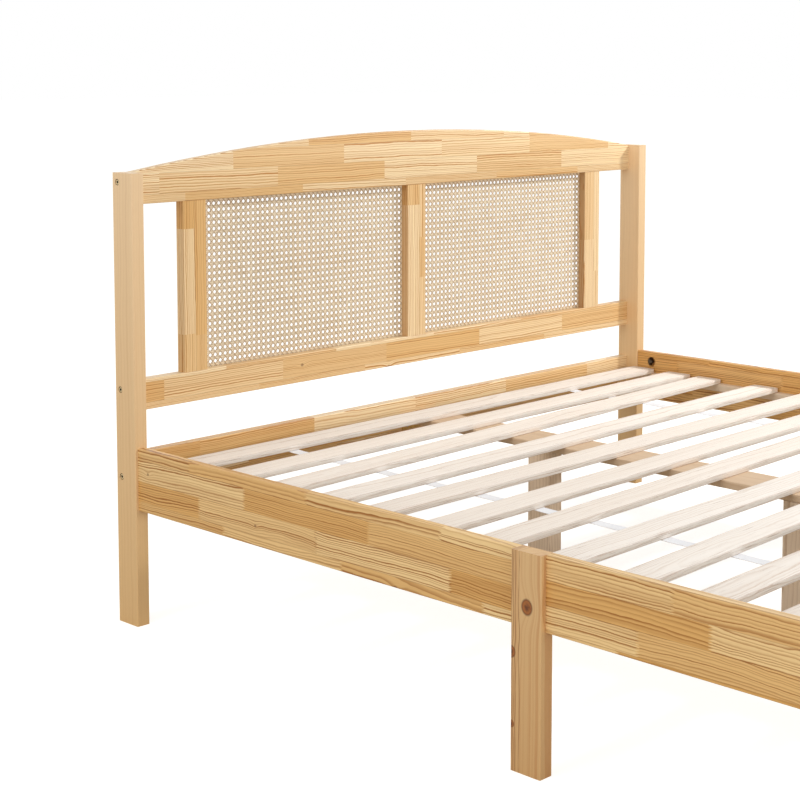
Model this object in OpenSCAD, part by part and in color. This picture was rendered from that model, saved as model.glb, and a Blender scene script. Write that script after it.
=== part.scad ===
// Pine platform bed with an arched headboard that holds two panels of woven cane.
// X runs across the bed, +Y towards the headboard, Z up. The origin is on the floor under the middle.

/* [Overall] */
// Width across the two head posts
bed_w = 1590; // [1200:10:1900]
// Length from the back of the head posts to the front of the foot legs
bed_l = 2090; // [1800:10:2300]

/* [Posts and legs] */
// Height of the head posts
post_h = 870; // [720:5:1200]
// Thickness of each post and leg across the bed
post_t = 28; // [27:1:32]
// Depth of each post and leg along the bed
post_d = 60; // [50:1:90]
// How far the middle and foot legs stand out past the head posts
leg_proud = 5; // [0:0.5:6]
// Radius of the eased long edges
edge_r = 2; // [0.5:0.5:4]

/* [Headboard] */
// Thickness of the headboard's rails and stiles
head_t = 23; // [16:1:30]
// Distance from the posts' back faces to the back of the headboard
head_setback = 3.5; // [0:0.5:16]
// Height of the crest rail where it meets the posts
crest_end_h = 62; // [50:1:110]
// Rise of the crest rail's arch above its ends
crest_rise = 58; // [10:1:150]
// Underside of the lower headboard rail above the floor
low_rail_z = 410; // [370:5:500]
// Height of the lower headboard rail
low_rail_h = 60; // [50:1:100]
// Width of each stile
stile_w = 57; // [45:1:90]
// Open width between a head post and its nearest stile
stile_gap = 118; // [40:1:200]

/* [Cane panels] */
// Thickness of the cane webbing
cane_t = 1.6; // [1:0.1:3]
// Plain openings across each panel, which stand in for the fine weave
weave_across = 12; // [4:1:12]
// Plain openings down each panel
weave_down = 7; // [3:1:12]
// Width of each plain opening as a share of its spacing
weave_open = 0.6; // [0.3:0.05:0.8]
// Depth of the rebate that holds the webbing, from the back
rebate_d = 5; // [4.5:0.5:9]
// Width of that rebate
rebate_w = 6; // [4:0.5:8]

/* [Bed rails] */
// Underside of the side rails above the floor
rail_z = 226; // [180:1:300]
// Height of the side and foot rails
rail_h = 120; // [112:1:180]
// Thickness of the side and foot rails
rail_t = 18; // [16:1:20]
// Distance from the head posts' outer faces to the rails' outer faces
rail_inset = 6; // [0:0.5:7]
// Height of the rail at the head end
head_end_h = 102; // [70:1:110]
// Distance from the side rails' tops down to the top of the rail at the head end
head_end_drop = 17; // [0:1:30]

/* [Slat deck] */
// Number of slats
slat_n = 15; // [12:1:16]
// Width of a slat
slat_w = 65; // [40:1:70]
// Thickness of a slat
slat_t = 11; // [9:0.5:20]
// Radius of a slat's rounded long edges
slat_edge_r = 1.5; // [0.5:0.5:4]
// Distance from the side rails' tops down to the tops of the slats
deck_drop = 40; // [30:1:52]
// Distance from an end rail to the slat beside it
slat_end_gap = 25; // [15:1:60]
// Gap between a slat's end and the nearest post or rail
slat_side_gap = 3; // [2:0.5:8]
// Width of the ledger under the slats' ends
ledger_w = 20; // [15:1:35]
// Height of that ledger
ledger_h = 18; // [12:1:28]
// Width of the beam under the middle of the slats
beam_w = 95; // [70:1:140]
// Thickness of that beam
beam_t = 15; // [12:1:30]
// Width of a centre leg across the bed
centre_leg_w = 38; // [28:1:60]
// Distance from the middle centre leg to each of the other two
centre_leg_step = 617; // [400:1:700]
// Distance from the bed's middle to each strap
strap_x = 445; // [300:1:520]
// Width of a strap
strap_w = 25; // [15:1:40]
// Thickness of a strap
strap_t = 1; // [0.8:0.1:2]

/* [Fittings] */
// Radius of the bolts and rods
bolt_r = 3; // [2.5:0.1:4]
// Radius of a bolt's head
bolt_head_r = 6; // [5:0.5:7]
// Height of a bolt's head
bolt_head_h = 4; // [3:0.5:6]
// How far a bolt's head lies below the wood
bolt_sink = 1; // [0.5:0.5:2]
// Length of a corner bolt below its head
corner_bolt_l = 50; // [40:1:60]
// Length of a barrel nut
barrel_l = 12; // [10:1:13]
// Radius of a barrel nut
barrel_r = 5; // [4.5:0.5:6]
// Radius of the bore that holds a rail's nut
pocket_r = 12.5; // [10:0.5:14]
// Distance from a rail's end to the middle of that bore
pocket_from_end = 42.5; // [35:0.5:60]
// Distance from a rail's edge to the middle of that bore
pocket_from_edge = 25; // [20:1:28]
// Thickness of a half moon washer at its middle
washer_t = 5; // [3:0.5:6]
// Width of a nut across its flats
nut_af = 10; // [9:0.5:13]
// Thickness of a nut
nut_t = 5; // [4:0.5:7]
// Radius of a dowel
dowel_r = 4; // [3:0.5:5]
// Length of a dowel
dowel_l = 30; // [20:1:36]
// Radius of a wood screw's shank
screw_r = 1.9; // [1.5:0.1:2.2]
// Thickness of the steel brackets under the beam's ends
bracket_t = 2; // [1.5:0.1:4]
// Length of the shelf on which a beam's end lies
bracket_shelf = 30; // [20:1:50]
// Clearance of a fitting in its bore, and of a piece in its groove
fit = 0.3; // [0.2:0.05:0.5]

/* [Hidden] */
// How far each slat has crept towards the head from its even place, at its left and right ends
slat_creep = [
  [0, 0], [0, 26], [6, 73], [19, 47], [36, 43], [30, 55], [38, 87], [28, 60],
  [21, 86], [19, 63], [18, 44], [14, 30], [8, 16], [4, 8], [0, 0]
];

// Left is -1 and right is 1. Head is 1 and foot is -1.
sides = [-1, 1];
eps = 1;
fine = 48;
arch_fn = 720;

// Posts and legs
back_y = bed_l / 2;
end_y = back_y - post_d / 2;
post_x = bed_w / 2 - post_t / 2;
leg_x = post_x + leg_proud;
post_in = bed_w / 2 - post_t;
leg_in = post_in + leg_proud;
rail_top = rail_z + rail_h;
rail_mid = rail_z + rail_h / 2;

// Headboard
wall_y = back_y - head_setback - head_t / 2;
wall_front = wall_y - head_t / 2;
wall_back = wall_y + head_t / 2;
crest_z = post_h - crest_end_h;
crest_top = post_h + crest_rise;
crest_radius = (post_in * post_in + crest_rise * crest_rise) / (2 * crest_rise);
low_rail_top = low_rail_z + low_rail_h;
head_end_top = rail_top - head_end_drop;
stile_h = crest_z - low_rail_top;
stile_x = post_in - stile_gap - stile_w / 2;
panel_w = stile_x - stile_w;
panel_x = stile_x / 2;
panel_z = (crest_z + low_rail_top) / 2;
sheet_y = wall_back - rebate_d + cane_t / 2;
grip = rebate_w - fit;

// Bolts through the posts into the headboard's rails: each rail's bolt height, then its dowels' heights
crest_bolt_drop = 18;
low_bolt_drop = 15;
dowel_step = 18;
crest_bolt_z = post_h - crest_bolt_drop;
low_bolt_z = low_rail_top - low_bolt_drop;
end_bolt_z = rail_mid;
head_joints = [
  [crest_bolt_z, [crest_bolt_z - dowel_step]],
  [low_bolt_z, [low_bolt_z - dowel_step]],
  [end_bolt_z, [end_bolt_z - dowel_step, end_bolt_z + dowel_step]]
];
bolt_reach = corner_bolt_l + bolt_head_h + bolt_sink - post_t;
barrel_from_end = bolt_reach - barrel_r;

// Side and foot rails
rail_x = bed_w / 2 - rail_inset - rail_t / 2;
rail_in = rail_x - rail_t / 2;
rail_l = (bed_l - 3 * post_d) / 2;
rail_y = post_d / 2 + rail_l / 2;
foot_rail_y = -back_y + rail_inset + rail_t / 2;
foot_rail_in = foot_rail_y + rail_t / 2;
rail_bolt_z = [rail_z + pocket_from_edge, rail_top - pocket_from_edge];
pocket_deep = rail_t / 2 + nut_af / 2 / cos(30) + fit;
washer_y = pocket_from_end - pocket_r + fit + washer_t;
rail_bolt_l = post_d - bolt_head_h - bolt_sink + washer_y + nut_t + bolt_r / 2;
rod_l = post_d + 2 * (washer_y + nut_t + bolt_r / 2);

// Slat deck
slat_z = rail_top - deck_drop - slat_t;
slat_l = 2 * (min(post_in, rail_in) - slat_side_gap);
first_y = wall_front - slat_end_gap - slat_w / 2;
last_y = foot_rail_in + slat_end_gap + slat_w / 2;
slat_step = (first_y - last_y) / (slat_n - 1);
beam_z = slat_z - beam_t;
beam_head_y = wall_front - bracket_t - fit;
beam_foot_y = foot_rail_in + bracket_t + fit;
centre_leg_x = -beam_w / 2 + centre_leg_w / 2;
strap_in = slat_w / 4;

// Screws and staples
screw_head_r = 2 * screw_r;
ledger_screw_l = ledger_w + rail_t / 2;
ledger_screw_n = 4;
ledger_screw_in = 80;
leg_screw_l = 60;
leg_screw_step = 15;
bracket_screw_l = 15;
bracket_screw_x = beam_w / 3;
bracket_drop = 18;
staple_w = 10;
staple_leg = 6;
staple_wire = [1.2, 0.8];

// Names that end in their place
function two(n) = n < 10 ? str("0", n) : str(n);
slat_names = [for (i = [1:slat_n]) str("slat_", two(i))];

// Where things lie
function creep(i) = i < len(slat_creep) ? slat_creep[i] : [0, 0];
function slat_turn(i) = atan((creep(i)[1] - creep(i)[0]) / slat_l);
function slat_y(i) = first_y - i * slat_step + (creep(i)[0] + creep(i)[1]) / 2;
function screw_y(k, end) =
  end * (post_d / 2 + ledger_screw_in + k * (rail_l - 2 * ledger_screw_in) / (ledger_screw_n - 1));

// Shapes
module rounded(a, b, radius) {
  r = min(radius, a / 3, b / 3);
  square([a - 2 * r, b], center = true);
  square([a, b - 2 * r], center = true);
  for (i = sides, j = sides)
    translate([i * (a / 2 - r), j * (b / 2 - r)]) circle(r, $fn = 32);
}

// A centred board whose edges along one axis are eased
module board_x(size, r = edge_r) {
  rotate([90, 0, 90]) linear_extrude(size.x, center = true) rounded(size.y, size.z, r);
}

module board_y(size, r = edge_r) {
  rotate([90, 0, 0]) linear_extrude(size.y, center = true) rounded(size.x, size.z, r);
}

module board_z(size, r = edge_r) {
  linear_extrude(size.z, center = true) rounded(size.x, size.y, r);
}

module rod_x(r, l) {
  rotate([0, 90, 0]) cylinder(h = l, r = r, center = true, $fn = fine);
}

module rod_y(r, l) {
  rotate([90, 0, 0]) cylinder(h = l, r = r, center = true, $fn = fine);
}

module rod_z(r, l) {
  cylinder(h = l, r = r, center = true, $fn = fine);
}

// A bolt that points along +Z, with its head's outer face at the origin
module socket_bolt(l) {
  difference() {
    union() {
      cylinder(h = bolt_head_h, r = bolt_head_r, $fn = fine);
      cylinder(h = bolt_head_h + l, r = bolt_r, $fn = fine);
    }
    translate([0, 0, -eps]) cylinder(h = eps + bolt_head_h * 0.6, r = bolt_r, $fn = 6);
  }
}

// The room that a bolt takes, from the wood's surface at the origin
module bolt_bore(l) {
  translate([0, 0, -eps])
    cylinder(h = eps + bolt_sink + bolt_head_h, r = bolt_head_r + fit, $fn = fine);
  cylinder(h = bolt_sink + bolt_head_h + l + fit, r = bolt_r + fit, $fn = fine);
}

// A wood screw that points along +Z, with its flat head at the origin
module wood_screw(l) {
  rotate_extrude($fn = fine) polygon([
    [0, 0], [screw_head_r, 0], [screw_r, screw_head_r - screw_r],
    [screw_r, l - 2 * screw_r], [0, l]
  ]);
}

module screw_bore(l) {
  rotate_extrude($fn = fine) polygon([
    [0, -eps], [screw_head_r + fit, -eps], [screw_head_r + fit, 0],
    [screw_r + fit, screw_head_r - screw_r], [screw_r + fit, l + fit], [0, l + fit]
  ]);
}

// Places that several pieces share
// The corner bolts of one side, each from the outer face of its post or leg
module at_head_bolts(side) {
  for (j = head_joints)
    translate([side * bed_w / 2, wall_y, j[0]]) rotate([0, -90 * side, 0]) children();
}

module at_foot_bolt(side) {
  translate([side * (bed_w / 2 + leg_proud), foot_rail_y, rail_mid])
    rotate([0, -90 * side, 0]) children();
}

// The rail bolts of one corner, each from the end face of its post or leg
module at_rail_bolts(side, end) {
  for (z = rail_bolt_z)
    translate([side * rail_x, end * back_y, z]) rotate([90 * end, 0, 0]) children();
}

// The nut pockets of one side rail at the joint on plane y, on the given side of it
module at_pockets(side, y, away) {
  for (z = rail_bolt_z)
    translate([side * rail_x, y, z]) scale([1, away, 1]) children();
}

module head_dowels(side) {
  for (j = head_joints, z = j[1])
    translate([side * post_in, wall_y, z]) children();
}

module foot_dowels(side) {
  for (k = sides)
    translate([side * leg_in, foot_rail_y, rail_mid + k * dowel_step]) children();
}

module stile_dowels(x) {
  for (z = [low_rail_top, crest_z], k = sides)
    translate([x + k * stile_w / 4, wall_y, z]) children();
}

// A slat's own frame: X along the slat, from its middle, with Z at its underside
module at_slat(i) {
  translate([0, slat_y(i), slat_z]) rotate([0, 0, slat_turn(i)]) children();
}

module at_staple(i, side) {
  at_slat(i) translate([side * strap_x / cos(slat_turn(i)), 0, 0]) children();
}

module staple_legs(grow) {
  for (k = sides)
    translate([k * (staple_w - staple_wire.x) / 2, 0, (staple_leg - strap_t) / 2])
      cube([
        staple_wire.x + 2 * grow, staple_wire.y + 2 * grow, staple_leg + strap_t + 2 * grow
      ], center = true);
}

// Headboard
module head_post(side) {
  color("burlywood") difference() {
    translate([side * post_x, end_y, post_h / 2]) board_z([post_t, post_d, post_h]);
    at_head_bolts(side) bolt_bore(post_t);
    head_dowels(side) rod_x(dowel_r + fit, dowel_l + 2 * fit);
    at_rail_bolts(side, 1) bolt_bore(post_d);
    translate([side * rail_x, back_y - post_d, rail_mid])
      rod_y(dowel_r + fit, dowel_l + 2 * fit);
  }
}

// The bores in a headboard rail's two ends, at one bolt height
module rail_end_bores(joint) {
  for (side = sides) {
    translate([side * (post_in - bolt_reach / 2), wall_y, joint[0]])
      rod_x(bolt_r + fit, bolt_reach + 2 * fit);
    translate([side * (post_in - barrel_from_end), wall_back, joint[0]])
      rod_y(barrel_r + fit, head_t + 2 * (barrel_r + fit));
    for (z = joint[1])
      translate([side * post_in, wall_y, z]) rod_x(dowel_r + fit, dowel_l + 2 * fit);
  }
}

// The rebates for the two panels, along a rail's edge at height z
module panel_rebates(z) {
  for (side = sides)
    translate([side * panel_x, wall_back, z])
      cube([panel_w + 2 * rebate_w, 2 * rebate_d, 2 * rebate_w], center = true);
}

module crest_rail() {
  color("wheat") difference() {
    translate([0, wall_y, 0]) rotate([90, 0, 0]) linear_extrude(head_t, center = true)
      intersection() {
        translate([-post_in, crest_z]) square([2 * post_in, crest_end_h + crest_rise]);
        translate([0, crest_top - crest_radius]) circle(crest_radius, $fn = arch_fn);
      }
    rail_end_bores(head_joints[0]);
    panel_rebates(crest_z);
    for (x = [-stile_x, 0, stile_x])
      stile_dowels(x) rod_z(dowel_r + fit, dowel_l + 2 * fit);
  }
}

module lower_head_rail() {
  color("wheat") difference() {
    translate([0, wall_y, low_rail_z + low_rail_h / 2])
      board_x([2 * post_in, head_t, low_rail_h]);
    rail_end_bores(head_joints[1]);
    panel_rebates(low_rail_top);
    for (x = [-stile_x, 0, stile_x])
      stile_dowels(x) rod_z(dowel_r + fit, dowel_l + 2 * fit);
  }
}

module head_end_rail() {
  color("wheat") difference() {
    translate([0, wall_y, head_end_top - head_end_h / 2])
      board_x([2 * post_in, head_t, head_end_h]);
    rail_end_bores(head_joints[2]);
    at_bracket_screws(1) screw_bore(bracket_screw_l);
  }
}

// A stile at x, rebated on the sides that face a panel
module stile(x, faces) {
  color("wheat") difference() {
    translate([x, wall_y, panel_z]) board_z([stile_w, head_t, stile_h]);
    for (s = faces)
      translate([x + s * stile_w / 2, wall_back, panel_z])
        cube([2 * rebate_w, 2 * rebate_d, stile_h + 2 * eps], center = true);
    stile_dowels(x) rod_z(dowel_r + fit, dowel_l + 2 * fit);
  }
}

module cane_panel(side) {
  step_x = panel_w / weave_across;
  step_z = stile_h / weave_down;
  color("tan") translate([side * panel_x, sheet_y, panel_z]) difference() {
    cube([panel_w + 2 * grip, cane_t, stile_h + 2 * grip], center = true);
    for (i = [0 : weave_across - 1], j = [0 : weave_down - 1])
      translate([(i + 0.5) * step_x - panel_w / 2, 0, (j + 0.5) * step_z - stile_h / 2])
        cube([weave_open * step_x, 2 * cane_t, weave_open * step_z], center = true);
  }
}

module cane_spline(side) {
  spline_t = rebate_d - cane_t;
  color("wheat") translate([side * panel_x, wall_back - spline_t / 2, panel_z]) {
    for (k = sides) {
      translate([0, 0, k * (stile_h + grip) / 2])
        cube([panel_w + 2 * grip, spline_t, grip], center = true);
      translate([k * (panel_w + grip) / 2, 0, 0])
        cube([grip, spline_t, stile_h], center = true);
    }
  }
}

// Bed rails
// The bores at one end of a side rail, which butts the plane y and runs away from it
module side_rail_bores(side, y, away) {
  at_pockets(side, y, away) {
    translate([0, pocket_from_end / 2, 0]) rod_y(bolt_r + fit, pocket_from_end + eps);
    translate([side * (pocket_deep - rail_t), pocket_from_end, 0])
      rod_x(pocket_r, rail_t);
  }
  translate([side * rail_x, y, rail_mid]) rod_y(dowel_r + fit, dowel_l + 2 * fit);
}

module side_rail(side, end) {
  color("goldenrod") difference() {
    translate([side * rail_x, end * rail_y, rail_mid]) board_y([rail_t, rail_l, rail_h]);
    side_rail_bores(side, end * post_d / 2, end);
    side_rail_bores(side, end * (back_y - post_d), -end);
    at_ledger_screws(side, end) screw_bore(ledger_screw_l);
  }
}

module foot_rail() {
  color("goldenrod") difference() {
    translate([0, foot_rail_y, rail_mid]) board_x([2 * leg_in, rail_t, rail_h]);
    for (side = sides) {
      translate([side * (leg_in - bolt_reach / 2), foot_rail_y, rail_mid])
        rod_x(bolt_r + fit, bolt_reach + 2 * fit);
      translate([side * (leg_in - barrel_from_end), foot_rail_in, rail_mid])
        rod_y(barrel_r + fit, rail_t + 2 * (barrel_r + fit));
      foot_dowels(side) rod_x(dowel_r + fit, dowel_l + 2 * fit);
    }
    at_bracket_screws(-1) screw_bore(bracket_screw_l);
  }
}

module middle_leg(side) {
  color("burlywood") difference() {
    translate([side * leg_x, 0, rail_top / 2]) board_z([post_t, post_d, rail_top]);
    for (z = rail_bolt_z)
      translate([side * rail_x, 0, z]) rod_y(bolt_r + fit, post_d + 2 * eps);
    for (k = sides)
      translate([side * rail_x, k * post_d / 2, rail_mid])
        rod_y(dowel_r + fit, dowel_l + 2 * fit);
  }
}

module foot_leg(side) {
  color("burlywood") difference() {
    translate([side * leg_x, -end_y, rail_top / 2]) board_z([post_t, post_d, rail_top]);
    at_foot_bolt(side) bolt_bore(post_t);
    foot_dowels(side) rod_x(dowel_r + fit, dowel_l + 2 * fit);
    at_rail_bolts(side, -1) bolt_bore(post_d);
    translate([side * rail_x, post_d - back_y, rail_mid])
      rod_y(dowel_r + fit, dowel_l + 2 * fit);
  }
}

// Slat deck
module ledger(side, end) {
  color("blanchedalmond") difference() {
    translate([side * (rail_in - ledger_w / 2), end * rail_y, slat_z - ledger_h / 2])
      board_y([ledger_w, rail_l, ledger_h]);
    at_ledger_screws(side, end) screw_bore(ledger_screw_l);
  }
}

module at_ledger_screws(side, end) {
  for (k = [0:ledger_screw_n - 1])
    translate([side * (rail_in - ledger_w), screw_y(k, end), slat_z - ledger_h / 2])
      rotate([0, 90 * side, 0]) children();
}

// The two screws of a centre leg, each from the beam's top
module at_leg_screws(y) {
  for (k = sides)
    translate([centre_leg_x, y + k * leg_screw_step, slat_z]) rotate([180, 0, 0]) children();
}

module centre_beam(end) {
  far = end > 0 ? beam_head_y : -beam_foot_y;
  color("blanchedalmond") difference() {
    translate([0, end * far / 2, slat_z - beam_t / 2]) board_y([beam_w, far, beam_t]);
    for (y = [0, end * centre_leg_step])
      at_leg_screws(y) screw_bore(leg_screw_l);
  }
}

module centre_leg(place) {
  color("burlywood") difference() {
    translate([centre_leg_x, place * centre_leg_step, beam_z / 2])
      board_z([centre_leg_w, post_d, beam_z]);
    at_leg_screws(place * centre_leg_step) screw_bore(leg_screw_l);
  }
}

module slat(i) {
  color("oldlace") difference() {
    at_slat(i) translate([0, 0, slat_t / 2]) board_x([slat_l, slat_w, slat_t], slat_edge_r);
    for (side = sides) at_staple(i, side) staple_legs(fit);
  }
}

module strap(side) {
  top = slat_y(0) + strap_in;
  bottom = slat_y(slat_n - 1) - strap_in;
  color("whitesmoke") difference() {
    translate([side * strap_x, (top + bottom) / 2, slat_z - strap_t / 2])
      cube([strap_w, top - bottom, strap_t], center = true);
    for (i = [0:slat_n - 1]) at_staple(i, side) staple_legs(fit);
  }
}

module strap_staples() {
  color("silver") for (side = sides, i = [0:slat_n - 1]) at_staple(i, side) union() {
    translate([0, 0, -strap_t - staple_wire.y / 2])
      cube([staple_w, staple_wire.y, staple_wire.y], center = true);
    staple_legs(0);
  }
}

// Fittings
module corner_bolts() {
  color("dimgray") for (side = sides) {
    at_head_bolts(side) translate([0, 0, bolt_sink]) socket_bolt(corner_bolt_l);
    at_foot_bolt(side) translate([0, 0, bolt_sink]) socket_bolt(corner_bolt_l);
  }
}

// A barrel nut whose slotted end faces +Y, with its cross bore at the origin
module barrel_nut() {
  difference() {
    translate([0, barrel_l / 2 - barrel_r, 0]) rod_y(barrel_r, barrel_l);
    rod_x(bolt_r + fit, 4 * barrel_r);
    translate([0, barrel_l - barrel_r, 0]) cube([4 * barrel_r, 2, 1.2], center = true);
  }
}

module barrel_nuts() {
  color("silver") for (side = sides) {
    for (j = head_joints)
      translate([side * (post_in - barrel_from_end), wall_y, j[0]]) barrel_nut();
    translate([side * (leg_in - barrel_from_end), foot_rail_y, rail_mid]) barrel_nut();
  }
}

module rail_bolts() {
  color("dimgray") for (side = sides, end = sides)
    at_rail_bolts(side, end) translate([0, 0, bolt_sink]) socket_bolt(rail_bolt_l);
}

module middle_rods() {
  color("silver") for (side = sides, z = rail_bolt_z)
    translate([side * rail_x, 0, z]) rod_y(bolt_r, rod_l);
}

// Every nut pocket of the four side rails
module at_all_pockets() {
  for (side = sides, end = sides) {
    at_pockets(side, end * post_d / 2, end) children();
    at_pockets(side, end * (back_y - post_d), -end) children();
  }
}

module half_moon_washers() {
  washer_l = 2 * pocket_deep - rail_t;
  color("silver") at_all_pockets() difference() {
    intersection() {
      translate([0, pocket_from_end, 0]) rod_x(pocket_r - fit, washer_l);
      translate([0, washer_y - washer_t / 2, 0])
        cube([washer_l, washer_t, 2 * pocket_r], center = true);
    }
    translate([0, washer_y, 0]) rod_y(bolt_r + fit, 4 * washer_t);
  }
}

module rail_nuts() {
  color("gray") at_all_pockets() translate([0, washer_y + nut_t / 2, 0]) difference() {
    rotate([90, 30, 0])
      cylinder(h = nut_t, r = nut_af / 2 / cos(30), center = true, $fn = 6);
    rod_y(bolt_r + fit, 2 * nut_t);
  }
}

module dowels() {
  color("peru") {
    for (side = sides) {
      head_dowels(side) rod_x(dowel_r, dowel_l);
      foot_dowels(side) rod_x(dowel_r, dowel_l);
      for (y = [post_d / 2, back_y - post_d], k = sides)
        translate([side * rail_x, k * y, rail_mid]) rod_y(dowel_r, dowel_l);
    }
    for (x = [-stile_x, 0, stile_x]) stile_dowels(x) rod_z(dowel_r, dowel_l);
  }
}

// The screws of the bracket at one end of the beam
module at_bracket_screws(end) {
  y = end > 0 ? wall_front - bracket_t : foot_rail_in + bracket_t;
  for (k = sides)
    translate([k * bracket_screw_x, y, beam_z - bracket_drop / 2])
      rotate([-90 * end, 0, 0]) children();
}

module beam_brackets() {
  color("gray") for (end = sides) difference() {
    y = end > 0 ? wall_front : -foot_rail_in;
    scale([1, end, 1]) {
      translate([-beam_w / 2, y - bracket_t, beam_z - bracket_drop])
        cube([beam_w, bracket_t, bracket_drop]);
      translate([-beam_w / 2, y - bracket_t - bracket_shelf, beam_z - bracket_t])
        cube([beam_w, bracket_shelf + eps, bracket_t]);
    }
    at_bracket_screws(end) screw_bore(bracket_screw_l);
  }
}

module bracket_screws() {
  color("gray") for (end = sides) at_bracket_screws(end) wood_screw(bracket_screw_l);
}

module ledger_screws() {
  color("gray") for (side = sides, end = sides)
    at_ledger_screws(side, end) wood_screw(ledger_screw_l);
}

module leg_screws() {
  color("gray") for (place = [-1:1])
    at_leg_screws(place * centre_leg_step) wood_screw(leg_screw_l);
}

head_post(-1);  // head_post_left
head_post(1);  // head_post_right
crest_rail();
lower_head_rail();
head_end_rail();
stile(-stile_x, [1]);  // stile_left
stile(0, sides);  // stile_centre
stile(stile_x, [-1]);  // stile_right
cane_panel(-1);  // cane_panel_left
cane_panel(1);  // cane_panel_right
cane_spline(-1);  // cane_spline_left
cane_spline(1);  // cane_spline_right
side_rail(-1, 1);  // side_rail_left_head
side_rail(-1, -1);  // side_rail_left_foot
side_rail(1, 1);  // side_rail_right_head
side_rail(1, -1);  // side_rail_right_foot
foot_rail();
middle_leg(-1);  // middle_leg_left
middle_leg(1);  // middle_leg_right
foot_leg(-1);  // foot_leg_left
foot_leg(1);  // foot_leg_right
ledger(-1, 1);  // ledger_left_head
ledger(-1, -1);  // ledger_left_foot
ledger(1, 1);  // ledger_right_head
ledger(1, -1);  // ledger_right_foot
centre_beam(1);  // centre_beam_head
centre_beam(-1);  // centre_beam_foot
centre_leg(1);  // centre_leg_head
centre_leg(0);  // centre_leg_middle
centre_leg(-1);  // centre_leg_foot
for (i = [0:slat_n - 1])
  slat(i);
strap(-1);  // strap_left
strap(1);  // strap_right
strap_staples();
corner_bolts();
barrel_nuts();
rail_bolts();
middle_rods();
half_moon_washers();
rail_nuts();
dowels();
beam_brackets();
bracket_screws();
ledger_screws();
leg_screws();
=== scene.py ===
"""Dresses the packed pine bed: laminated and solid pine, woven cane, raw slats, webbing and bolts."""

from __future__ import annotations

import logging
import math
from dataclasses import dataclass
from enum import Enum
from typing import Callable, Optional, Sequence, Union

import bmesh
import bpy
from mathutils import Matrix, Vector


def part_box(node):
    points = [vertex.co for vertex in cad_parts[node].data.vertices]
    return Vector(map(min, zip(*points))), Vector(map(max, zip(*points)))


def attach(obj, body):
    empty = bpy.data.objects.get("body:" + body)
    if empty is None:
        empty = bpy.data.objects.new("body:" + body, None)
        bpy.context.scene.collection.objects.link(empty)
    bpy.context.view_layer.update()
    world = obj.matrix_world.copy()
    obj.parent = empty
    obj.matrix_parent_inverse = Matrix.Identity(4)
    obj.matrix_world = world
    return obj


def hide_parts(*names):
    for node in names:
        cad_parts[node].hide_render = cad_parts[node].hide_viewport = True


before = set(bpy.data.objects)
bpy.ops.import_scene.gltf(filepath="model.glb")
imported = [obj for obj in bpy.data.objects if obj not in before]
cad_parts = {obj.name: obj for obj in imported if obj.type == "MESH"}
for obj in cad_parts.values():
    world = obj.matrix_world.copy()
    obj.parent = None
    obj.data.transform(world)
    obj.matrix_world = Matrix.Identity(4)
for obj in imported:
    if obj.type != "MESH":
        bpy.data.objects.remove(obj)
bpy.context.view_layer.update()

LOG = logging.getLogger("bed")
BODY = "root"
MM = 0.001
# Points nearer than the first are one, and places nearer than the second are the same, in metres.
SAME_POINT = 1e-6
SAME_PLACE = 1e-5
# How far apart the seeds of neighbouring blocks and slats lie.
SEED_STEP = 7.31

Colour = tuple[float, float, float]
Point = tuple[float, float, float]


# Shader and geometry trees


def srgb(red: int, green: int, blue: int) -> Colour:
    """The linear colour of one that is written as on a screen, by the sRGB formula."""
    return tuple(
        c / 12.92 if c <= 0.04045 else ((c + 0.055) / 1.055) ** 2.4
        for c in (red / 255, green / 255, blue / 255)
    )


def _operator(operation: str, words: str, swapped: bool = False) -> Callable[..., "Wire"]:
    """Makes a method of Wire that adds one Math node.

    Args:
        operation: The node's operation.
        words: What the method gives.
        swapped: Whether the Wire is the node's last value instead of its first.

    Returns:
        The method.
    """

    def method(self: "Wire", *others: "Term") -> "Wire":
        """Adds the node."""
        values = (*others, self) if swapped else (self, *others)
        return self.bench.node("ShaderNodeMath", {"operation": operation}, dict(enumerate(values)))

    method.__doc__ = words
    return method


class Wire:
    """A socket in a tree, on which Python's operators add Math nodes."""

    __add__ = __radd__ = _operator("ADD", "Sum.")
    __sub__ = _operator("SUBTRACT", "Difference.")
    __rsub__ = _operator("SUBTRACT", "Difference from a number.", swapped=True)
    __mul__ = __rmul__ = _operator("MULTIPLY", "Product.")
    __truediv__ = _operator("DIVIDE", "Quotient.")
    __gt__ = _operator("GREATER_THAN", "1 where this is greater, and 0 elsewhere.")
    __lt__ = _operator("LESS_THAN", "1 where this is less, and 0 elsewhere.")
    floor = _operator("FLOOR", "Whole part.")
    fract = _operator("FRACT", "Part after the point.")
    sine = _operator("SINE", "Sine of radians.")
    cosine = _operator("COSINE", "Cosine of radians.")
    root = _operator("SQRT", "Square root.")
    size = _operator("ABSOLUTE", "Absolute value.")
    exp = _operator("EXPONENT", "Exponential.")
    swing = _operator("PINGPONG", "Triangle wave between 0 and a scale.")
    most = _operator("MAXIMUM", "The greater of the two.")
    least = _operator("MINIMUM", "The lesser of the two.")

    def __init__(self, bench: "Bench", socket: bpy.types.NodeSocket) -> None:
        """Holds the socket and the bench that adds nodes to its tree."""
        self.bench = bench
        self.socket = socket

    def ramp(self, low: float, high: float) -> "Wire":
        """0 at low and 1 at high, with a smooth rise between them."""
        settings = {"interpolation_type": "SMOOTHSTEP"}
        return self.bench.node(
            "ShaderNodeMapRange", settings, {"Value": self, "From Min": low, "From Max": high}
        )


Term = Union[Wire, float, int]


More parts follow.
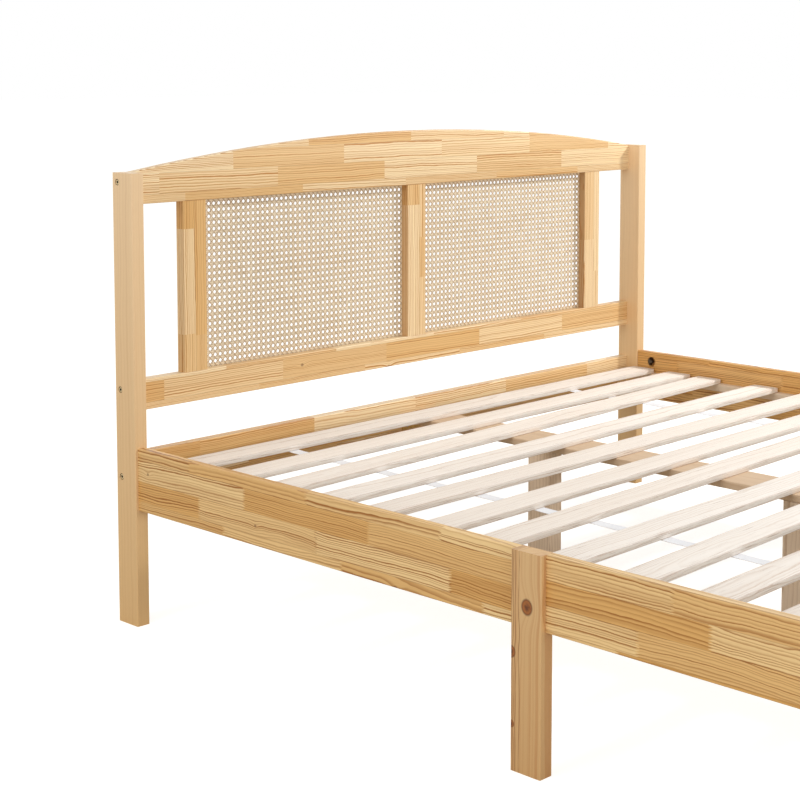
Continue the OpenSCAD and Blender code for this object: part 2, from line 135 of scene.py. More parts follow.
class Bench:
    """Adds nodes to one shader or geometry tree."""

    def __init__(self, tree: bpy.types.NodeTree) -> None:
        """Starts on this tree."""
        self.tree = tree

    def node(
        self,
        kind: str,
        settings: Optional[dict] = None,
        values: Optional[dict] = None,
        out: Union[int, str] = 0,
    ) -> Wire:
        """Adds one node.

        Args:
            kind: The node's type.
            settings: Its own settings, such as a Math node's operation, set first.
            values: A value or a Wire for each input, by name or index.
            out: The output to return, by name or index.

        Returns:
            The output, as a Wire.
        """
        made = self.tree.nodes.new(kind)
        for key, value in (settings or {}).items():
            setattr(made, key, value)
        for key, value in (values or {}).items():
            self._fill(made.inputs[key], value)
        return Wire(self, made.outputs[out])

    def _fill(self, socket: bpy.types.NodeSocket, value: object) -> None:
        """Links a Wire to a socket, or sets the socket's value.

        Args:
            socket: The socket.
            value: A Wire, or a value of the socket's kind, where a colour may have three parts.
        """
        if isinstance(value, Wire):
            self.tree.links.new(value.socket, socket)
        elif isinstance(value, (tuple, list)) and socket.type == "RGBA" and len(value) == 3:
            socket.default_value = (*value, 1.0)
        else:
            socket.default_value = value

    def other(self, wire: Wire, out: Union[int, str]) -> Wire:
        """Another output of the node that a Wire comes from."""
        return Wire(self, wire.socket.node.outputs[out])

    def close(self, kind: str, surface: Wire) -> None:
        """Adds the tree's output node and links the surface to it."""
        last = self.tree.nodes.new(kind)
        self.tree.links.new(surface.socket, last.inputs["Surface"])

    def vector(self, x: Term, y: Term, z: Term) -> Wire:
        """Three values as one vector."""
        return self.node("ShaderNodeCombineXYZ", None, {0: x, 1: y, 2: z})

    def parts(self, vector: Wire) -> tuple[Wire, Wire, Wire]:
        """A vector's three values."""
        x = self.node("ShaderNodeSeparateXYZ", None, {0: vector})
        return x, self.other(x, 1), self.other(x, 2)

    def noise(self, at: Wire, scale: float = 1.0, detail: float = 1.0) -> Wire:
        """Soft noise about 0.5."""
        return self.node("ShaderNodeTexNoise", None, {"Vector": at, "Scale": scale, "Detail": detail})

    def drawn(
        self, place: tuple[Wire, Wire, Wire], seed: Term, waves: tuple[float, float], detail: float = 2.0
    ) -> Wire:
        """Noise that is drawn out along the grain.

        Args:
            place: Distance along the grain, and two across it.
            seed: A value that sets pieces apart.
            waves: Waves for each metre along the grain and across it.
            detail: How fine the noise is.

        Returns:
            The noise, about 0.5.
        """
        u, v, w = place
        length, cross = waves
        return self.noise(self.vector(u * length + seed, v * cross, w * cross), detail=detail)

    def chance(self, x: Term, y: Term, z: Term) -> tuple[Wire, Wire, Wire, Wire]:
        """Draws lots that depend only on three values.

        Args:
            x: The first value.
            y: The second.
            z: The third.

        Returns:
            Four random values from 0 to 1.
        """
        settings = {"noise_dimensions": "3D"}
        value = self.node("ShaderNodeTexWhiteNoise", settings, {"Vector": self.vector(x, y, z)})
        return (value, *self.parts(self.other(value, "Color")))

    def mix(self, share: Term, a: object, b: object, how: str = "MIX") -> Wire:
        """Blends two colours."""
        settings = {"data_type": "RGBA", "blend_type": how}
        return self.node("ShaderNodeMix", settings, {0: share, 6: a, 7: b}, out=2)

    def shaded(self, colour: object, shade: Wire) -> Wire:
        """A colour times a shade."""
        return self.mix(1.0, colour, self.vector(shade, shade, shade), "MULTIPLY")

    def bump(self, strength: float, distance: float, height: Wire) -> Wire:
        """A normal that follows a height."""
        values = {"Strength": strength, "Distance": distance, "Height": height}
        return self.node("ShaderNodeBump", None, values)

    def place(self) -> Wire:
        """Object coordinates."""
        return self.node("ShaderNodeTexCoord", out="Object")

    def stored(self, name: str) -> Wire:
        """A value stored on the piece."""
        return self.node("ShaderNodeAttribute", {"attribute_name": name}, out="Fac")


def fresh_bench(owner: Union[bpy.types.Material, bpy.types.World]) -> Bench:
    """Empties the shader tree of a material or world.

    Args:
        owner: The material or world.

    Returns:
        A bench on its tree.
    """
    owner.use_nodes = True
    owner.node_tree.nodes.clear()
    return Bench(owner.node_tree)


class Finish:
    """What a surface is finished with."""

    def paint(self, bench: Bench) -> dict:
        """Adds a finish's nodes.

        Args:
            bench: The material's bench.

        Returns:
            The values of the main shader's inputs.
        """
        raise NotImplementedError

    def material(self, name: str) -> bpy.types.Material:
        """Makes a material with this finish.

        Args:
            name: The material's name.

        Returns:
            The material.
        """
        material = bpy.data.materials.new(name)
        bench = fresh_bench(material)
        shader = bench.node("ShaderNodeBsdfPrincipled", None, self.paint(bench))
        bench.close("ShaderNodeOutputMaterial", shader)
        return material


# Pine


class Grain(Enum):
    """The axis that a board's grain runs along, then the axis across its face and the one through it."""

    ALONG_X = (0, 2, 1)
    ALONG_Y = (1, 2, 0)
    UPRIGHT = (2, 0, 1)
    UPRIGHT_DEEP = (2, 1, 0)
    SLAT = (0, 1, 2)


class Tone(Enum):
    """How dark a block of a laminated board is."""

    PALE = 0.0
    STRAW = 0.33
    HONEY = 0.66
    AMBER = 1.0


@dataclass(frozen=True)
class Pine:
    """The colours and figure of one kind of pine, with lengths in metres.

    ring is the width of a year's growth and ring_strength how dark its late wood is. sway and ripple are how
    far the rings wander, in that many waves for each metre along the grain and across it. streak is how much
    warm streaks show, fibre how much the fibres do, and relief the height of the late wood over the rest.
    """

    pale: Colour
    warm: Colour
    late: Colour
    knot: Colour = srgb(112, 62, 28)
    ring: float = 0.0033
    ring_strength: float = 0.85
    sway: float = 0.012
    ripple: float = 0.0034
    streak: float = 0.22
    fibre: float = 0.10
    roughness: float = 0.42
    coat: float = 0.12
    coat_roughness: float = 0.3
    bump: float = 0.25
    relief: float = 0.0004
    sway_waves: tuple[float, float] = (4.0, 11.0)
    ripple_waves: tuple[float, float] = (24.0, 65.0)
    fibre_waves: tuple[float, float] = (9.0, 520.0)

    def figure(self, bench: Bench, u: Wire, v: Wire, w: Wire, ring: Term, seed: Term) -> tuple[Wire, Wire]:
        """The rings and fibres of a piece of wood.

        Args:
            bench: The tree's bench.
            u: Distance along the grain.
            v: First distance from the heart.
            w: Second distance from the heart.
            ring: Width of a year's growth.
            seed: A value that sets pieces apart.

        Returns:
            How much a point lies in late wood, and how dark its fibre is, each from 0 to 1.
        """
        place = (u, v, w)
        sway = bench.drawn(place, seed, self.sway_waves, detail=1.0)
        ripple = bench.drawn(place, seed, self.ripple_waves)
        reach = (v * v + w * w).root()
        radius = reach + (sway - 0.5) * self.sway + (ripple - 0.5) * self.ripple
        spread = bench.noise(bench.vector(radius * 110.0, seed, 0.0))
        count = radius / ring + seed + (spread - 0.5) * 1.6
        turn = count.fract()
        year = bench.chance(count.floor(), seed, 4.0)[0]
        late = turn.ramp(0.30, 0.88) * (1.0 - turn.ramp(0.90, 1.0))
        steep = (v.size() / reach).ramp(0.03, 0.30) * 0.7 + 0.3
        force = bench.noise(bench.vector(u * 5.0 + seed, radius * 90.0, 0.0))
        fibre = bench.drawn(place, seed, self.fibre_waves)
        return late * steep * (year * year * 0.85 + 0.35) * (force + 0.6), fibre

    def colour(self, bench: Bench, tone: Term, late: Wire, fibre: Wire, blush: Wire) -> Wire:
        """The wood's colour.

        Args:
            bench: The tree's bench.
            tone: How dark the piece is, from 0 to 1.
            late: How much a point lies in late wood.
            fibre: How dark its fibre is.
            blush: How much it lies in a warm streak.

        Returns:
            The colour.
        """
        base = bench.mix(tone, self.pale, self.warm)
        base = bench.mix(blush * self.streak, base, self.late)
        base = bench.mix((late * self.ring_strength).least(0.95), base, self.late)
        return bench.shaded(base, 1.0 + self.fibre * 0.5 - fibre * self.fibre)

    def finish(self, bench: Bench, colour: Wire, late: Wire, fibre: Wire) -> dict:
        """Gives a colour the sheen and the relief of this wood.

        Args:
            bench: The tree's bench.
            colour: The colour.
            late: How much a point lies in late wood.
            fibre: How dark its fibre is.

        Returns:
            The values of the main shader's inputs.
        """
        return {
            "Base Color": colour,
            "Roughness": self.roughness + 0.1 * (fibre - 0.5),
            "Coat Weight": self.coat,
            "Coat Roughness": self.coat_roughness,
            "Normal": bench.bump(self.bump, self.relief, late * 0.5 + fibre * 0.5),
        }


def along(bench: Bench, grain: Grain) -> tuple[Wire, Wire, Wire]:
    """Object coordinates as distance along, across and through a board."""
    place = bench.parts(bench.place())
    return tuple(place[i] for i in grain.value)


@dataclass(frozen=True)
class Knot:
    """A knot's place along, across and through a board, and its radius, in metres."""

    along: float
    across: float
    through: float
    radius: float

    def press(self, u: Wire, v: Wire, w: Wire) -> tuple[Wire, Wire]:
        """Bends the grain about the knot.

        Args:
            u: Distance along the board.
            v: Distance across it.
            w: Distance through it.

        Returns:
            How far the knot pushes the rings aside, and a point's distance from it in radii.
        """
        du, dv, dw = (u - self.along) * 0.85, v - self.across, (w - self.through) * 0.35
        share = (du * du + dv * dv + dw * dw) / (self.radius * self.radius)
        return (share * -0.22).exp() * (self.radius * 1.2), share.root()

    def stain(self, bench: Bench, colour: Wire, reach: Wire, wood: Pine) -> Wire:
        """Paints the knot's heart and dark rim over a colour.

        Args:
            bench: The tree's bench.
            colour: The colour.
            reach: A point's distance from the knot in radii.
            wood: The wood that the knot is in.

        Returns:
            The colour with the knot on it.
        """
        blot = bench.noise(bench.place(), scale=190.0, detail=2.0)
        heart = 0.85 - (reach + (blot - 0.5) * 1.1).ramp(0.1, 0.8) * 0.7
        colour = bench.mix(1.0 - reach.ramp(0.85, 1.05), colour, bench.mix(heart, wood.late, wood.knot))
        rim = reach.ramp(0.7, 0.9) * (1.0 - reach.ramp(0.95, 1.2))
        return bench.mix(rim * 0.6, colour, wood.knot)


@dataclass(frozen=True)
class SolidPine(Finish):
    """A board sawn from one piece.

    heart is its heart's place across and through it, and lean how far the grain turns from it. drift is the
    change of its tone for each metre along it, and streaks are the places across it of thin dark lines, whose
    edges fade between the two distances of streak_edge.
    """

    wood: Pine
    grain: Grain
    heart: tuple[float, float]
    tone: float = 0.3
    seed: float = 0.0
    drift: float = 0.0
    lean: tuple[float, float] = (0.006, 0.006)
    knots: tuple[Knot, ...] = ()
    streaks: tuple[float, ...] = ()
    streak_wander: float = 0.006
    streak_edge: tuple[float, float] = (0.0002, 0.0014)
    streak_strength: float = 0.75

    def paint(self, bench: Bench) -> dict:
        """Adds the board's nodes.

        Args:
            bench: The material's bench.

        Returns:
            The values of the main shader's inputs.
        """
        u, v0, w0 = along(bench, self.grain)
        v = v0 - self.heart[0] + u * self.lean[0]
        w = w0 - self.heart[1] + u * self.lean[1]
        side = v0
        reaches = []
        for knot in self.knots:
            push, reach = knot.press(u, v0, w0)
            v, side = v + push, side - push * 0.25
            reaches.append(reach)
        late, fibre = self.wood.figure(bench, u, v, w, self.wood.ring, self.seed)
        blush = bench.drawn((u, v0, w0), self.seed, (1.3, 60.0)).ramp(0.5, 0.8)
        # Painted shade on the posts and legs: the tone drifts darker towards the floor.
        tone = (u * self.drift + self.tone).most(0.0).least(1.0) if self.drift else self.tone
        colour = self.wood.colour(bench, tone, late, fibre, blush)
        brown = tuple((a + b) / 2 for a, b in zip(self.wood.late, self.wood.knot))
        for place in self.streaks:
            wander = bench.noise(bench.vector(u * 11.0, place * 900.0, 0.0), detail=2.0)
            gap = (side - place + (wander - 0.5) * self.streak_wander).size()
            line = (1.0 - gap.ramp(*self.streak_edge)) * wander.ramp(0.2, 0.55)
            colour = bench.mix(line * self.streak_strength, colour, brown)
        for knot, reach in zip(self.knots, reaches):
            colour = knot.stain(bench, colour, reach, self.wood)
        return self.wood.finish(bench, colour, late, fibre)


@dataclass(frozen=True)
class Stave:
    """A row of blocks in a laminated board: the first one's tone, and each joint with the tone after it."""

    first: Tone
    joints: tuple[tuple[float, Tone], ...]


@dataclass(frozen=True)
class LaminatedPine(Finish):
    """A board glued up from finger-jointed staves, with lengths in metres.

    low is its lower edge and through its middle, in the bed's frame, and width is a stave's. block is a
    block's length where no staves are given. finger is half a finger's width, and reach is its length where
    it shows. knotty is the share of blocks with a knot, side_tone how much darker the board's narrow faces
    are, and glue_line half the width of the line between two staves. knot is the least radius of a knot and
    how much more it may be, and heart the same for the depth of a block's heart.
    """

    wood: Pine
    grain: Grain
    low: float
    through: float
    width: float = 0.040
    seed: float = 0.0
    block: float = 0.305
    finger: float = 0.0021
    reach: float = 0.0
    knotty: float = 0.2
    side_shade: float = 0.0
    glue_line: float = 0.0004
    knot: tuple[float, float] = (0.0022, 0.0020)
    heart: tuple[float, float] = (0.018, 0.045)
    staves: tuple[Stave, ...] = ()

    def _random_blocks(self, bench: Bench, u: Wire, row: Wire) -> tuple[Wire, Wire]:
        """Finds a point's block where no joints are given.

        Args:
            bench: The tree's bench.
            u: Distance along the board, with the fingers' shift.
            row: The stave's number.

        Returns:
            The block's number and its tone.
        """
        shift = bench.chance(row, self.seed, 1.0)[0]
        number = ((u + shift) / self.block).floor()
        return number, bench.chance(row, number, self.seed + 9.0)[0]

    def _given_blocks(self, bench: Bench, u: Wire, row: Wire) -> tuple[Wire, Wire]:
        """Finds a point's block from the given joints.

        Args:
            bench: The tree's bench.
            u: Distance along the board, with the fingers' shift.
            row: The stave's number.

        Returns:
            The block's number and its tone.
        """
        number: Term = 0.0
        tone: Term = 0.0
        for index, stave in enumerate(self.staves):
            here = (row - float(index)).size() < 0.5
            count: Term = 0.0
            level: Term = stave.first.value
            before = stave.first
            for place, after in stave.joints:
                past = u > place
                count = past + count
                level = past * (after.value - before.value) + level
                before = after
            number = here * count + number
            tone = here * level + tone
        drift = bench.chance(row, number, self.seed + 9.0)[0]
        return number, (tone + (drift - 0.5) * 0.2).most(0.0).least(1.0)

    def paint(self, bench: Bench) -> dict:
        """Adds the board's nodes.

        Args:
            bench: The material's bench.

        Returns:
            The values of the main shader's inputs.
        """
        u, v, w = along(bench, self.grain)
        level = (v - self.low) / self.width
        row = level.floor()
        teeth = (v / self.finger).swing(1.0) * self.reach + u
        number, tone = (self._given_blocks if self.staves else self._random_blocks)(bench, teeth, row)
        heart, depth, lean, gap = bench.chance(row, number, self.seed + 2.0)
        place, height, knotty, turn = bench.chance(row, number, self.seed + 3.0)
        seed = number * SEED_STEP + row * 3.17 + self.seed
        offset = (heart - 0.5) * 4.0 + ((heart > 0.5) * 2.0 - 1.0) * 0.9 + 0.5
        across = v - self.low - (row + offset) * self.width + u * (lean - 0.5) * 0.02
        through = w - self.through + self.heart[0] + depth * self.heart[1] + u * (turn - 0.5) * 0.04
        side = v - self.low - (row + 0.2 + height * 0.6) * self.width
        cell = ((u / self.block + place).fract() - 0.5) * (self.block * 0.8)
        radius = self.knot[0] + self.knot[1] * turn
        share = (cell * cell + side * side) / (radius * radius)
        has = knotty < self.knotty
        core = (1.0 - share.root().ramp(0.6, 1.3)) * has
        push = (share * -0.08).exp() * radius * has
        ring = self.wood.ring * (0.7 + gap * 0.75)
        late, fibre = self.wood.figure(bench, u, across + push * 1.5, through, ring, seed)
        blush = bench.drawn((u, v, w), seed, (2.0, 70.0)).ramp(0.42, 0.8)
        colour = self.wood.colour(bench, tone, late, fibre, blush)
        facing = bench.parts(bench.node("ShaderNodeNewGeometry", out="Normal"))[self.grain.value[1]]
        # Painted shade: the narrow faces, such as the stiles' sides beside the cane, are darkened towards the
        # late wood's colour.
        colour = bench.mix(facing.size().ramp(0.6, 0.9) * self.side_shade, colour, self.wood.late)
        seam = (level.fract() - 0.5).size() > (0.5 - self.glue_line / self.width)
        colour = bench.mix((core * 0.6).most(seam * 0.3), colour, self.wood.knot)
        return self.wood.finish(bench, colour, late, fibre)


HEAD_PINE = Pine(
    pale=srgb(250, 225, 180),
    warm=srgb(229, 184, 118),
    late=srgb(190, 128, 54),
    ring_strength=1.0,
)
RAIL_PINE = Pine(
    pale=srgb(243, 208, 148),
    warm=srgb(222, 171, 98),
    late=srgb(160, 98, 30),
    ring=0.0050,
    ring_strength=1.0,
    sway=0.020,
    ripple=0.0040,
    streak=0.34,
)
POST_PINE = Pine(
    pale=srgb(244, 213, 172),
    warm=srgb(222, 181, 124),
    late=srgb(190, 140, 84),
    ring=0.0060,
    ring_strength=0.14,
    streak=0.10,
    fibre=0.05,
)
LEG_PINE = Pine(
    pale=srgb(226, 191, 140),
    warm=srgb(207, 162, 106),
    late=srgb(178, 108, 48),
    knot=srgb(84, 42, 18),
    ring=0.0070,
    ring_strength=0.32,
    sway=0.006,
    ripple=0.0012,
    streak=0.25,
    fibre=0.06,
)
PALE_PINE = Pine(
    pale=srgb(244, 220, 176),
    warm=srgb(232, 196, 140),
    late=srgb(208, 158, 96),
    ring_strength=0.35,
    streak=0.15,
)
RAW_PINE = Pine(
    pale=srgb(252, 245, 236),
    warm=srgb(243, 230, 215),
    late=srgb(204, 178, 154),
    knot=srgb(150, 112, 84),
    ring_strength=0.45,
    streak=0.18,
    roughness=0.7,
    coat=0.0,
)
# Raw pine like the slats', painted darker as shade for the parts under the deck: the ledgers, beam and centre
# legs.
SHADED_RAW_PINE = Pine(
    pale=srgb(238, 216, 190),
    warm=srgb(206, 176, 142),
    late=srgb(182, 146, 112),
    knot=srgb(110, 70, 44),
    ring=0.0050,
    ring_strength=0.40,
    streak=0.25,
    roughness=0.7,
    coat=0.0,
)


@dataclass(frozen=True)
class SlatPine(Finish):
    """Raw slats, each with its own figure and thin brown flecks, most of them along its edges."""

    wood: Pine
    width: float
    flecks: float = 0.5

    def paint(self, bench: Bench) -> dict:
        """Adds the slats' nodes.

        Args:
            bench: The material's bench.

        Returns:
            The values of the main shader's inputs.
        """
        u, _, w = along(bench, Grain.SLAT)
        slat, across = bench.stored("slat"), bench.stored("across")
        heart, depth, tone, lean = bench.chance(slat, 1.0, 5.0)
        side = across * (self.width / 2)
        seed = slat * SEED_STEP
        v = side + (heart - 0.5) * 0.11 + u * (lean - 0.5) * 0.03
        through = w * 0.6 + depth * 0.05 - 0.16
        late, fibre = self.wood.figure(bench, u, v, through, self.wood.ring, seed)
        blush = bench.drawn((u, side, w), seed, (1.6, 70.0)).ramp(0.48, 0.8)
        colour = self.wood.colour(bench, tone * 0.5, late, fibre, blush)
        thin = bench.drawn((u, side, w), seed, (13.0, 800.0))
        edge = across.size().ramp(0.55, 1.0)
        arris = across.size().ramp(0.935, 0.960) * (1.0 - across.size().ramp(0.985, 1.0))
        fleck_and_rim = ((thin + edge * 0.09).ramp(0.66, 0.74) * self.flecks).most(arris * thin.ramp(0.2, 0.6) * 0.4)
        return self.wood.finish(bench, bench.mix(fleck_and_rim, colour, self.wood.knot), late, fibre)


# Metal, cane and tape


@dataclass(frozen=True)
class Steel(Finish):
    """Plated or blackened steel, dark where its stored value "soot" is 1, and darker by wear in spots."""

    colour: Colour
    roughness: float
    wear: float = 0.72
    # Dark brown painted as shade in the bolts' sockets and round their heads.
    recess_shade: Colour = srgb(40, 24, 12)

    def paint(self, bench: Bench) -> dict:
        """Adds the steel's nodes.

        Args:
            bench: The material's bench.

        Returns:
            The values of the main shader's inputs.
        """
        place = bench.place()
        spots = bench.noise(place, scale=900.0, detail=3.0)
        wear = bench.noise(place, scale=140.0, detail=2.0).ramp(0.35, 0.75)
        dark = tuple(c * self.wear for c in self.colour)
        # Painted shade: where the stored value is 1 the steel is dark brown and not metallic.
        recess_shade = bench.stored("recess_shade")
        return {
            "Base Color": bench.mix(recess_shade, bench.mix(wear, self.colour, dark), self.recess_shade),
            "Metallic": 1.0 - recess_shade,
            "Roughness": self.roughness + 0.2 * (spots - 0.5),
            "Normal": bench.bump(0.15, 0.0002, spots),
        }


class Strand(Enum):
    """How a strand of cane runs: upright behind or before the cross strands, across, or on a slant."""

    UPRIGHT_BACK = 0.0
    UPRIGHT_FRONT = 1.0
    CROSS = 2.0
    RISING = 3.0
    FALLING = 4.0


# Kinds below the first are upright, and those above the second are on a slant.
BELOW_CROSS, ABOVE_CROSS = Strand.CROSS.value - 0.5, Strand.CROSS.value + 0.5


@dataclass(frozen=True)
class CaneFinish(Finish):
    """Split cane, pale and glossy on its skin, with brown flecks."""

    pale: Colour = srgb(252, 238, 210)
    deep: Colour = srgb(216, 186, 144)
    # The flecks' brown, which also paints shade along the strands' rims.
    fleck_and_rim: Colour = srgb(112, 78, 48)
    fleck_strength: float = 0.4
    # How strongly shade is painted along the rims, then how far the slanted strands are painted towards the
    # deep colour as shade.
    rim_shade: float = 0.85
    slant_shade: float = 0.55

    def paint(self, bench: Bench) -> dict:
        """Adds the cane's nodes.

        Args:
            bench: The material's bench.

        Returns:
            The values of the main shader's inputs.
        """
        place = bench.place()
        strand, kind, rim = (bench.stored(name) for name in ("strand", "kind", "rim"))
        tint = bench.chance(strand, 3.0, 7.0)[0]
        cloud = bench.noise(place, scale=22.0, detail=3.0)
        flecks = bench.noise(place, scale=260.0, detail=2.0).ramp(0.60, 0.76)
        # Painted shade: the slanted strands are darkened towards the deep colour.
        slanted = (kind > ABOVE_CROSS) * self.slant_shade
        share = (tint * 0.45 + cloud * 0.5 + slanted - 0.2).most(0.0).least(1.0)
        colour = bench.mix(share, self.pale, self.deep)
        colour = bench.mix(flecks * self.fleck_strength, colour, self.fleck_and_rim)
        # Painted shade along the outer edges of the strands, round the holes.
        colour = bench.mix(rim.ramp(0.45, 1.0) * self.rim_shade, colour, self.fleck_and_rim)
        return {
            "Base Color": colour,
            "Roughness": 0.42 + 0.25 * cloud,
            "Normal": bench.bump(0.2, 0.0003, cloud),
        }


@dataclass(frozen=True)
class TapeFinish(Finish):
    """White woven tape. warp and weft are how close its threads lie, in radians for each metre."""

    colour: Colour = srgb(244, 244, 246)
    warp: float = 3100.0
    weft: float = 2300.0

    def paint(self, bench: Bench) -> dict:
        """Adds the tape's nodes.

        Args:
            bench: The material's bench.

        Returns:
            The values of the main shader's inputs.
        """
        x, y, _ = bench.parts(bench.place())
        shift = (x * (self.warp / 2)).sine() * 0.7
        weave = (x * self.warp).sine() * (y * self.weft + shift).sine() * 0.5 + 0.5
        return {
            "Base Color": bench.shaded(self.colour, 0.94 + weave * 0.06),
            "Roughness": 0.85,
            "Normal": bench.bump(0.5, 0.0004, weave),
        }


# Meshes


def add_object(name: str, data: bpy.types.ID) -> bpy.types.Object:
    """Adds an object to the scene.

    Args:
        name: Its name.
        data: Its mesh, lamp or camera.

    Returns:
        The object.
    """
    made = bpy.data.objects.new(name, data)
    bpy.context.scene.collection.objects.link(made)
    return made


def mesh_object(
    name: str, points: Sequence[Point], edges: Sequence = (), faces: Sequence = ()
) -> bpy.types.Object:
    """Makes an object.

    Args:
        name: Its name.
        points: Its points.
        edges: Its edges, as pairs of points' numbers.
        faces: Its faces, as points' numbers.

    Returns:
        The object.
    """
    mesh = bpy.data.meshes.new(name)
    mesh.from_pydata([tuple(p) for p in points], list(edges), list(faces))
    mesh.update()
    return add_object(name, mesh)


def values_on(piece: bpy.types.Object, name: str, kind: str, values: Sequence) -> None:
    """Stores one value for each point of a mesh.

    Args:
        piece: The mesh's object.
        name: The values' name.
        kind: FLOAT or FLOAT_VECTOR.
        values: The values.
    """
    field = "value" if kind == "FLOAT" else "vector"
    layer = piece.data.attributes.new(name, kind, "POINT")
    for item, value in zip(layer.data, values):
        setattr(item, field, value)


def smoothed(mesh: bpy.types.Mesh, angle: float) -> None:
    """Shades a mesh smooth, but for edges that turn more than this many degrees."""
    mesh.shade_smooth()
    mesh.set_sharp_from_angle(angle=math.radians(angle))


def plain(piece: bpy.types.Object, smooth: Optional[float] = None) -> None:
    """Turns a piece's modifiers into its mesh.

    Args:
        piece: The piece.
        smooth: The angle, in degrees, below which edges are shaded smooth, or None for flat faces.
    """
    bpy.context.view_layer.update()
    graph = bpy.context.evaluated_depsgraph_get()
    mesh = bpy.data.meshes.new_from_object(piece.evaluated_get(graph))
    piece.modifiers.clear()
    piece.data = mesh
    if smooth is not None:
        smoothed(mesh, smooth)


def lathe(rings: Sequence[tuple[float, float, bool]], sides: int = 24) -> bpy.types.Mesh:
    """A turned mesh about Z with its ends capped.

    Args:
        rings: Each ring's radius, height, and whether it is a hexagon, whose radius is then its inner one.
        sides: Points on each ring, a multiple of six.

    Returns:
        The mesh.
    """
    points, faces = [], []
    for radius, height, hexagon in rings:
        for i in range(sides):
            turn = 2 * math.pi * i / sides
            far = radius / math.cos(turn % (math.pi / 3) - math.pi / 6) if hexagon else radius
            points.append((far * math.cos(turn), far * math.sin(turn), height))
    last = len(rings) - 1
    for a in range(0, last * sides, sides):
        for i in range(sides):
            j = (i + 1) % sides
            faces.append((a + i, a + j, a + sides + j, a + sides + i))
    faces += [tuple(reversed(range(sides))), tuple(range(last * sides, (last + 1) * sides))]
    mesh = bpy.data.meshes.new("turned")
    mesh.from_pydata(points, [], faces)
    shape = bmesh.new()
    shape.from_mesh(mesh)
    bmesh.ops.recalc_face_normals(shape, faces=shape.faces)
    shape.to_mesh(mesh)
    shape.free()
    return mesh


class GeometryTree:
    """A Geometry Nodes tree with named inputs that ends in realised, painted geometry."""

    def __init__(self, name: str) -> None:
        """Starts a tree that takes one geometry and gives another.

        Args:
            name: Its name.
        """
        self.tree = bpy.data.node_groups.new(name, "GeometryNodeTree")
        self.bench = Bench(self.tree)
        for way in ("INPUT", "OUTPUT"):
            self.tree.interface.new_socket("Geometry", in_out=way, socket_type="NodeSocketGeometry")
        self.sockets: dict[str, str] = {}
        self.entry = self.tree.nodes.new("NodeGroupInput")

    def value(self, name: str, kind: str = "NodeSocketFloat") -> Wire:
        """Adds a named input.

        Args:
            name: The input's name.
            kind: Its type of socket.

        Returns:
            Its Wire.
        """
        socket = self.tree.interface.new_socket(name, in_out="INPUT", socket_type=kind)
        self.sockets[name] = socket.identifier
        return Wire(self.bench, self.entry.outputs[name])

    def geometry(self) -> Wire:
        """The geometry that the tree starts from."""
        return Wire(self.bench, self.entry.outputs["Geometry"])

    def position(self) -> tuple[Wire, Wire, Wire]:
        """A point's place."""
        return self.bench.parts(self.bench.node("GeometryNodeInputPosition"))

    def attribute(self, name: str, vector: bool = False) -> Wire:
        """A value stored on the geometry."""
        settings = {"data_type": "FLOAT_VECTOR" if vector else "FLOAT"}
        return self.bench.node("GeometryNodeInputNamedAttribute", settings, {"Name": name}, "Attribute")

    def store(self, geometry: Wire, name: str, value: Wire) -> Wire:
        """Stores a value on each point.

        Args:
            geometry: The points' geometry.
            name: The value's name.
            value: The value.

        Returns:
            The geometry with the value.
        """
        settings = {"data_type": "FLOAT", "domain": "POINT"}
        values = {"Geometry": geometry, "Name": name, "Value": value}
        return self.bench.node("GeometryNodeStoreNamedAttribute", settings, values)

    def sweep(self, line: Wire, profile: Wire) -> Wire:
        """Sweeps a profile along a line, with its ends closed."""
        values = {"Curve": line, "Profile Curve": profile, "Fill Caps": True}
        return self.bench.node("GeometryNodeCurveToMesh", None, values)

    def set_out(self, shape: Wire, turn: Wire) -> Wire:
        """Sets a shape on each point, turned by a vector."""
        values = {"Points": self.geometry(), "Instance": shape, "Rotation": turn}
        return self.bench.node("GeometryNodeInstanceOnPoints", None, values)

    def end(self, geometry: Wire) -> None:
        """Realises the instances and paints the result with a last input, Material.

        Args:
            geometry: What the tree has made.
        """
        material = self.value("Material", "NodeSocketMaterial")
        real = self.bench.node("GeometryNodeRealizeInstances", None, {"Geometry": geometry})
        painted = self.bench.node("GeometryNodeSetMaterial", None, {"Geometry": real, "Material": material})
        last = self.tree.nodes.new("NodeGroupOutput")
        self.tree.links.new(painted.socket, last.inputs["Geometry"])

    def run(self, piece: bpy.types.Object, values: dict, smooth: Optional[float] = None) -> None:
        """Runs the tree on a piece and keeps the result as its mesh.

        Args:
            piece: The piece.
            values: Each input's value, by name.
            smooth: The angle, in degrees, below which edges are shaded smooth, or None for flat faces.
        """
        modifier = piece.modifiers.new(self.tree.name, "NODES")
        modifier.node_group = self.tree
        for name, value in values.items():
            modifier[self.sockets[name]] = value
        plain(piece, smooth)


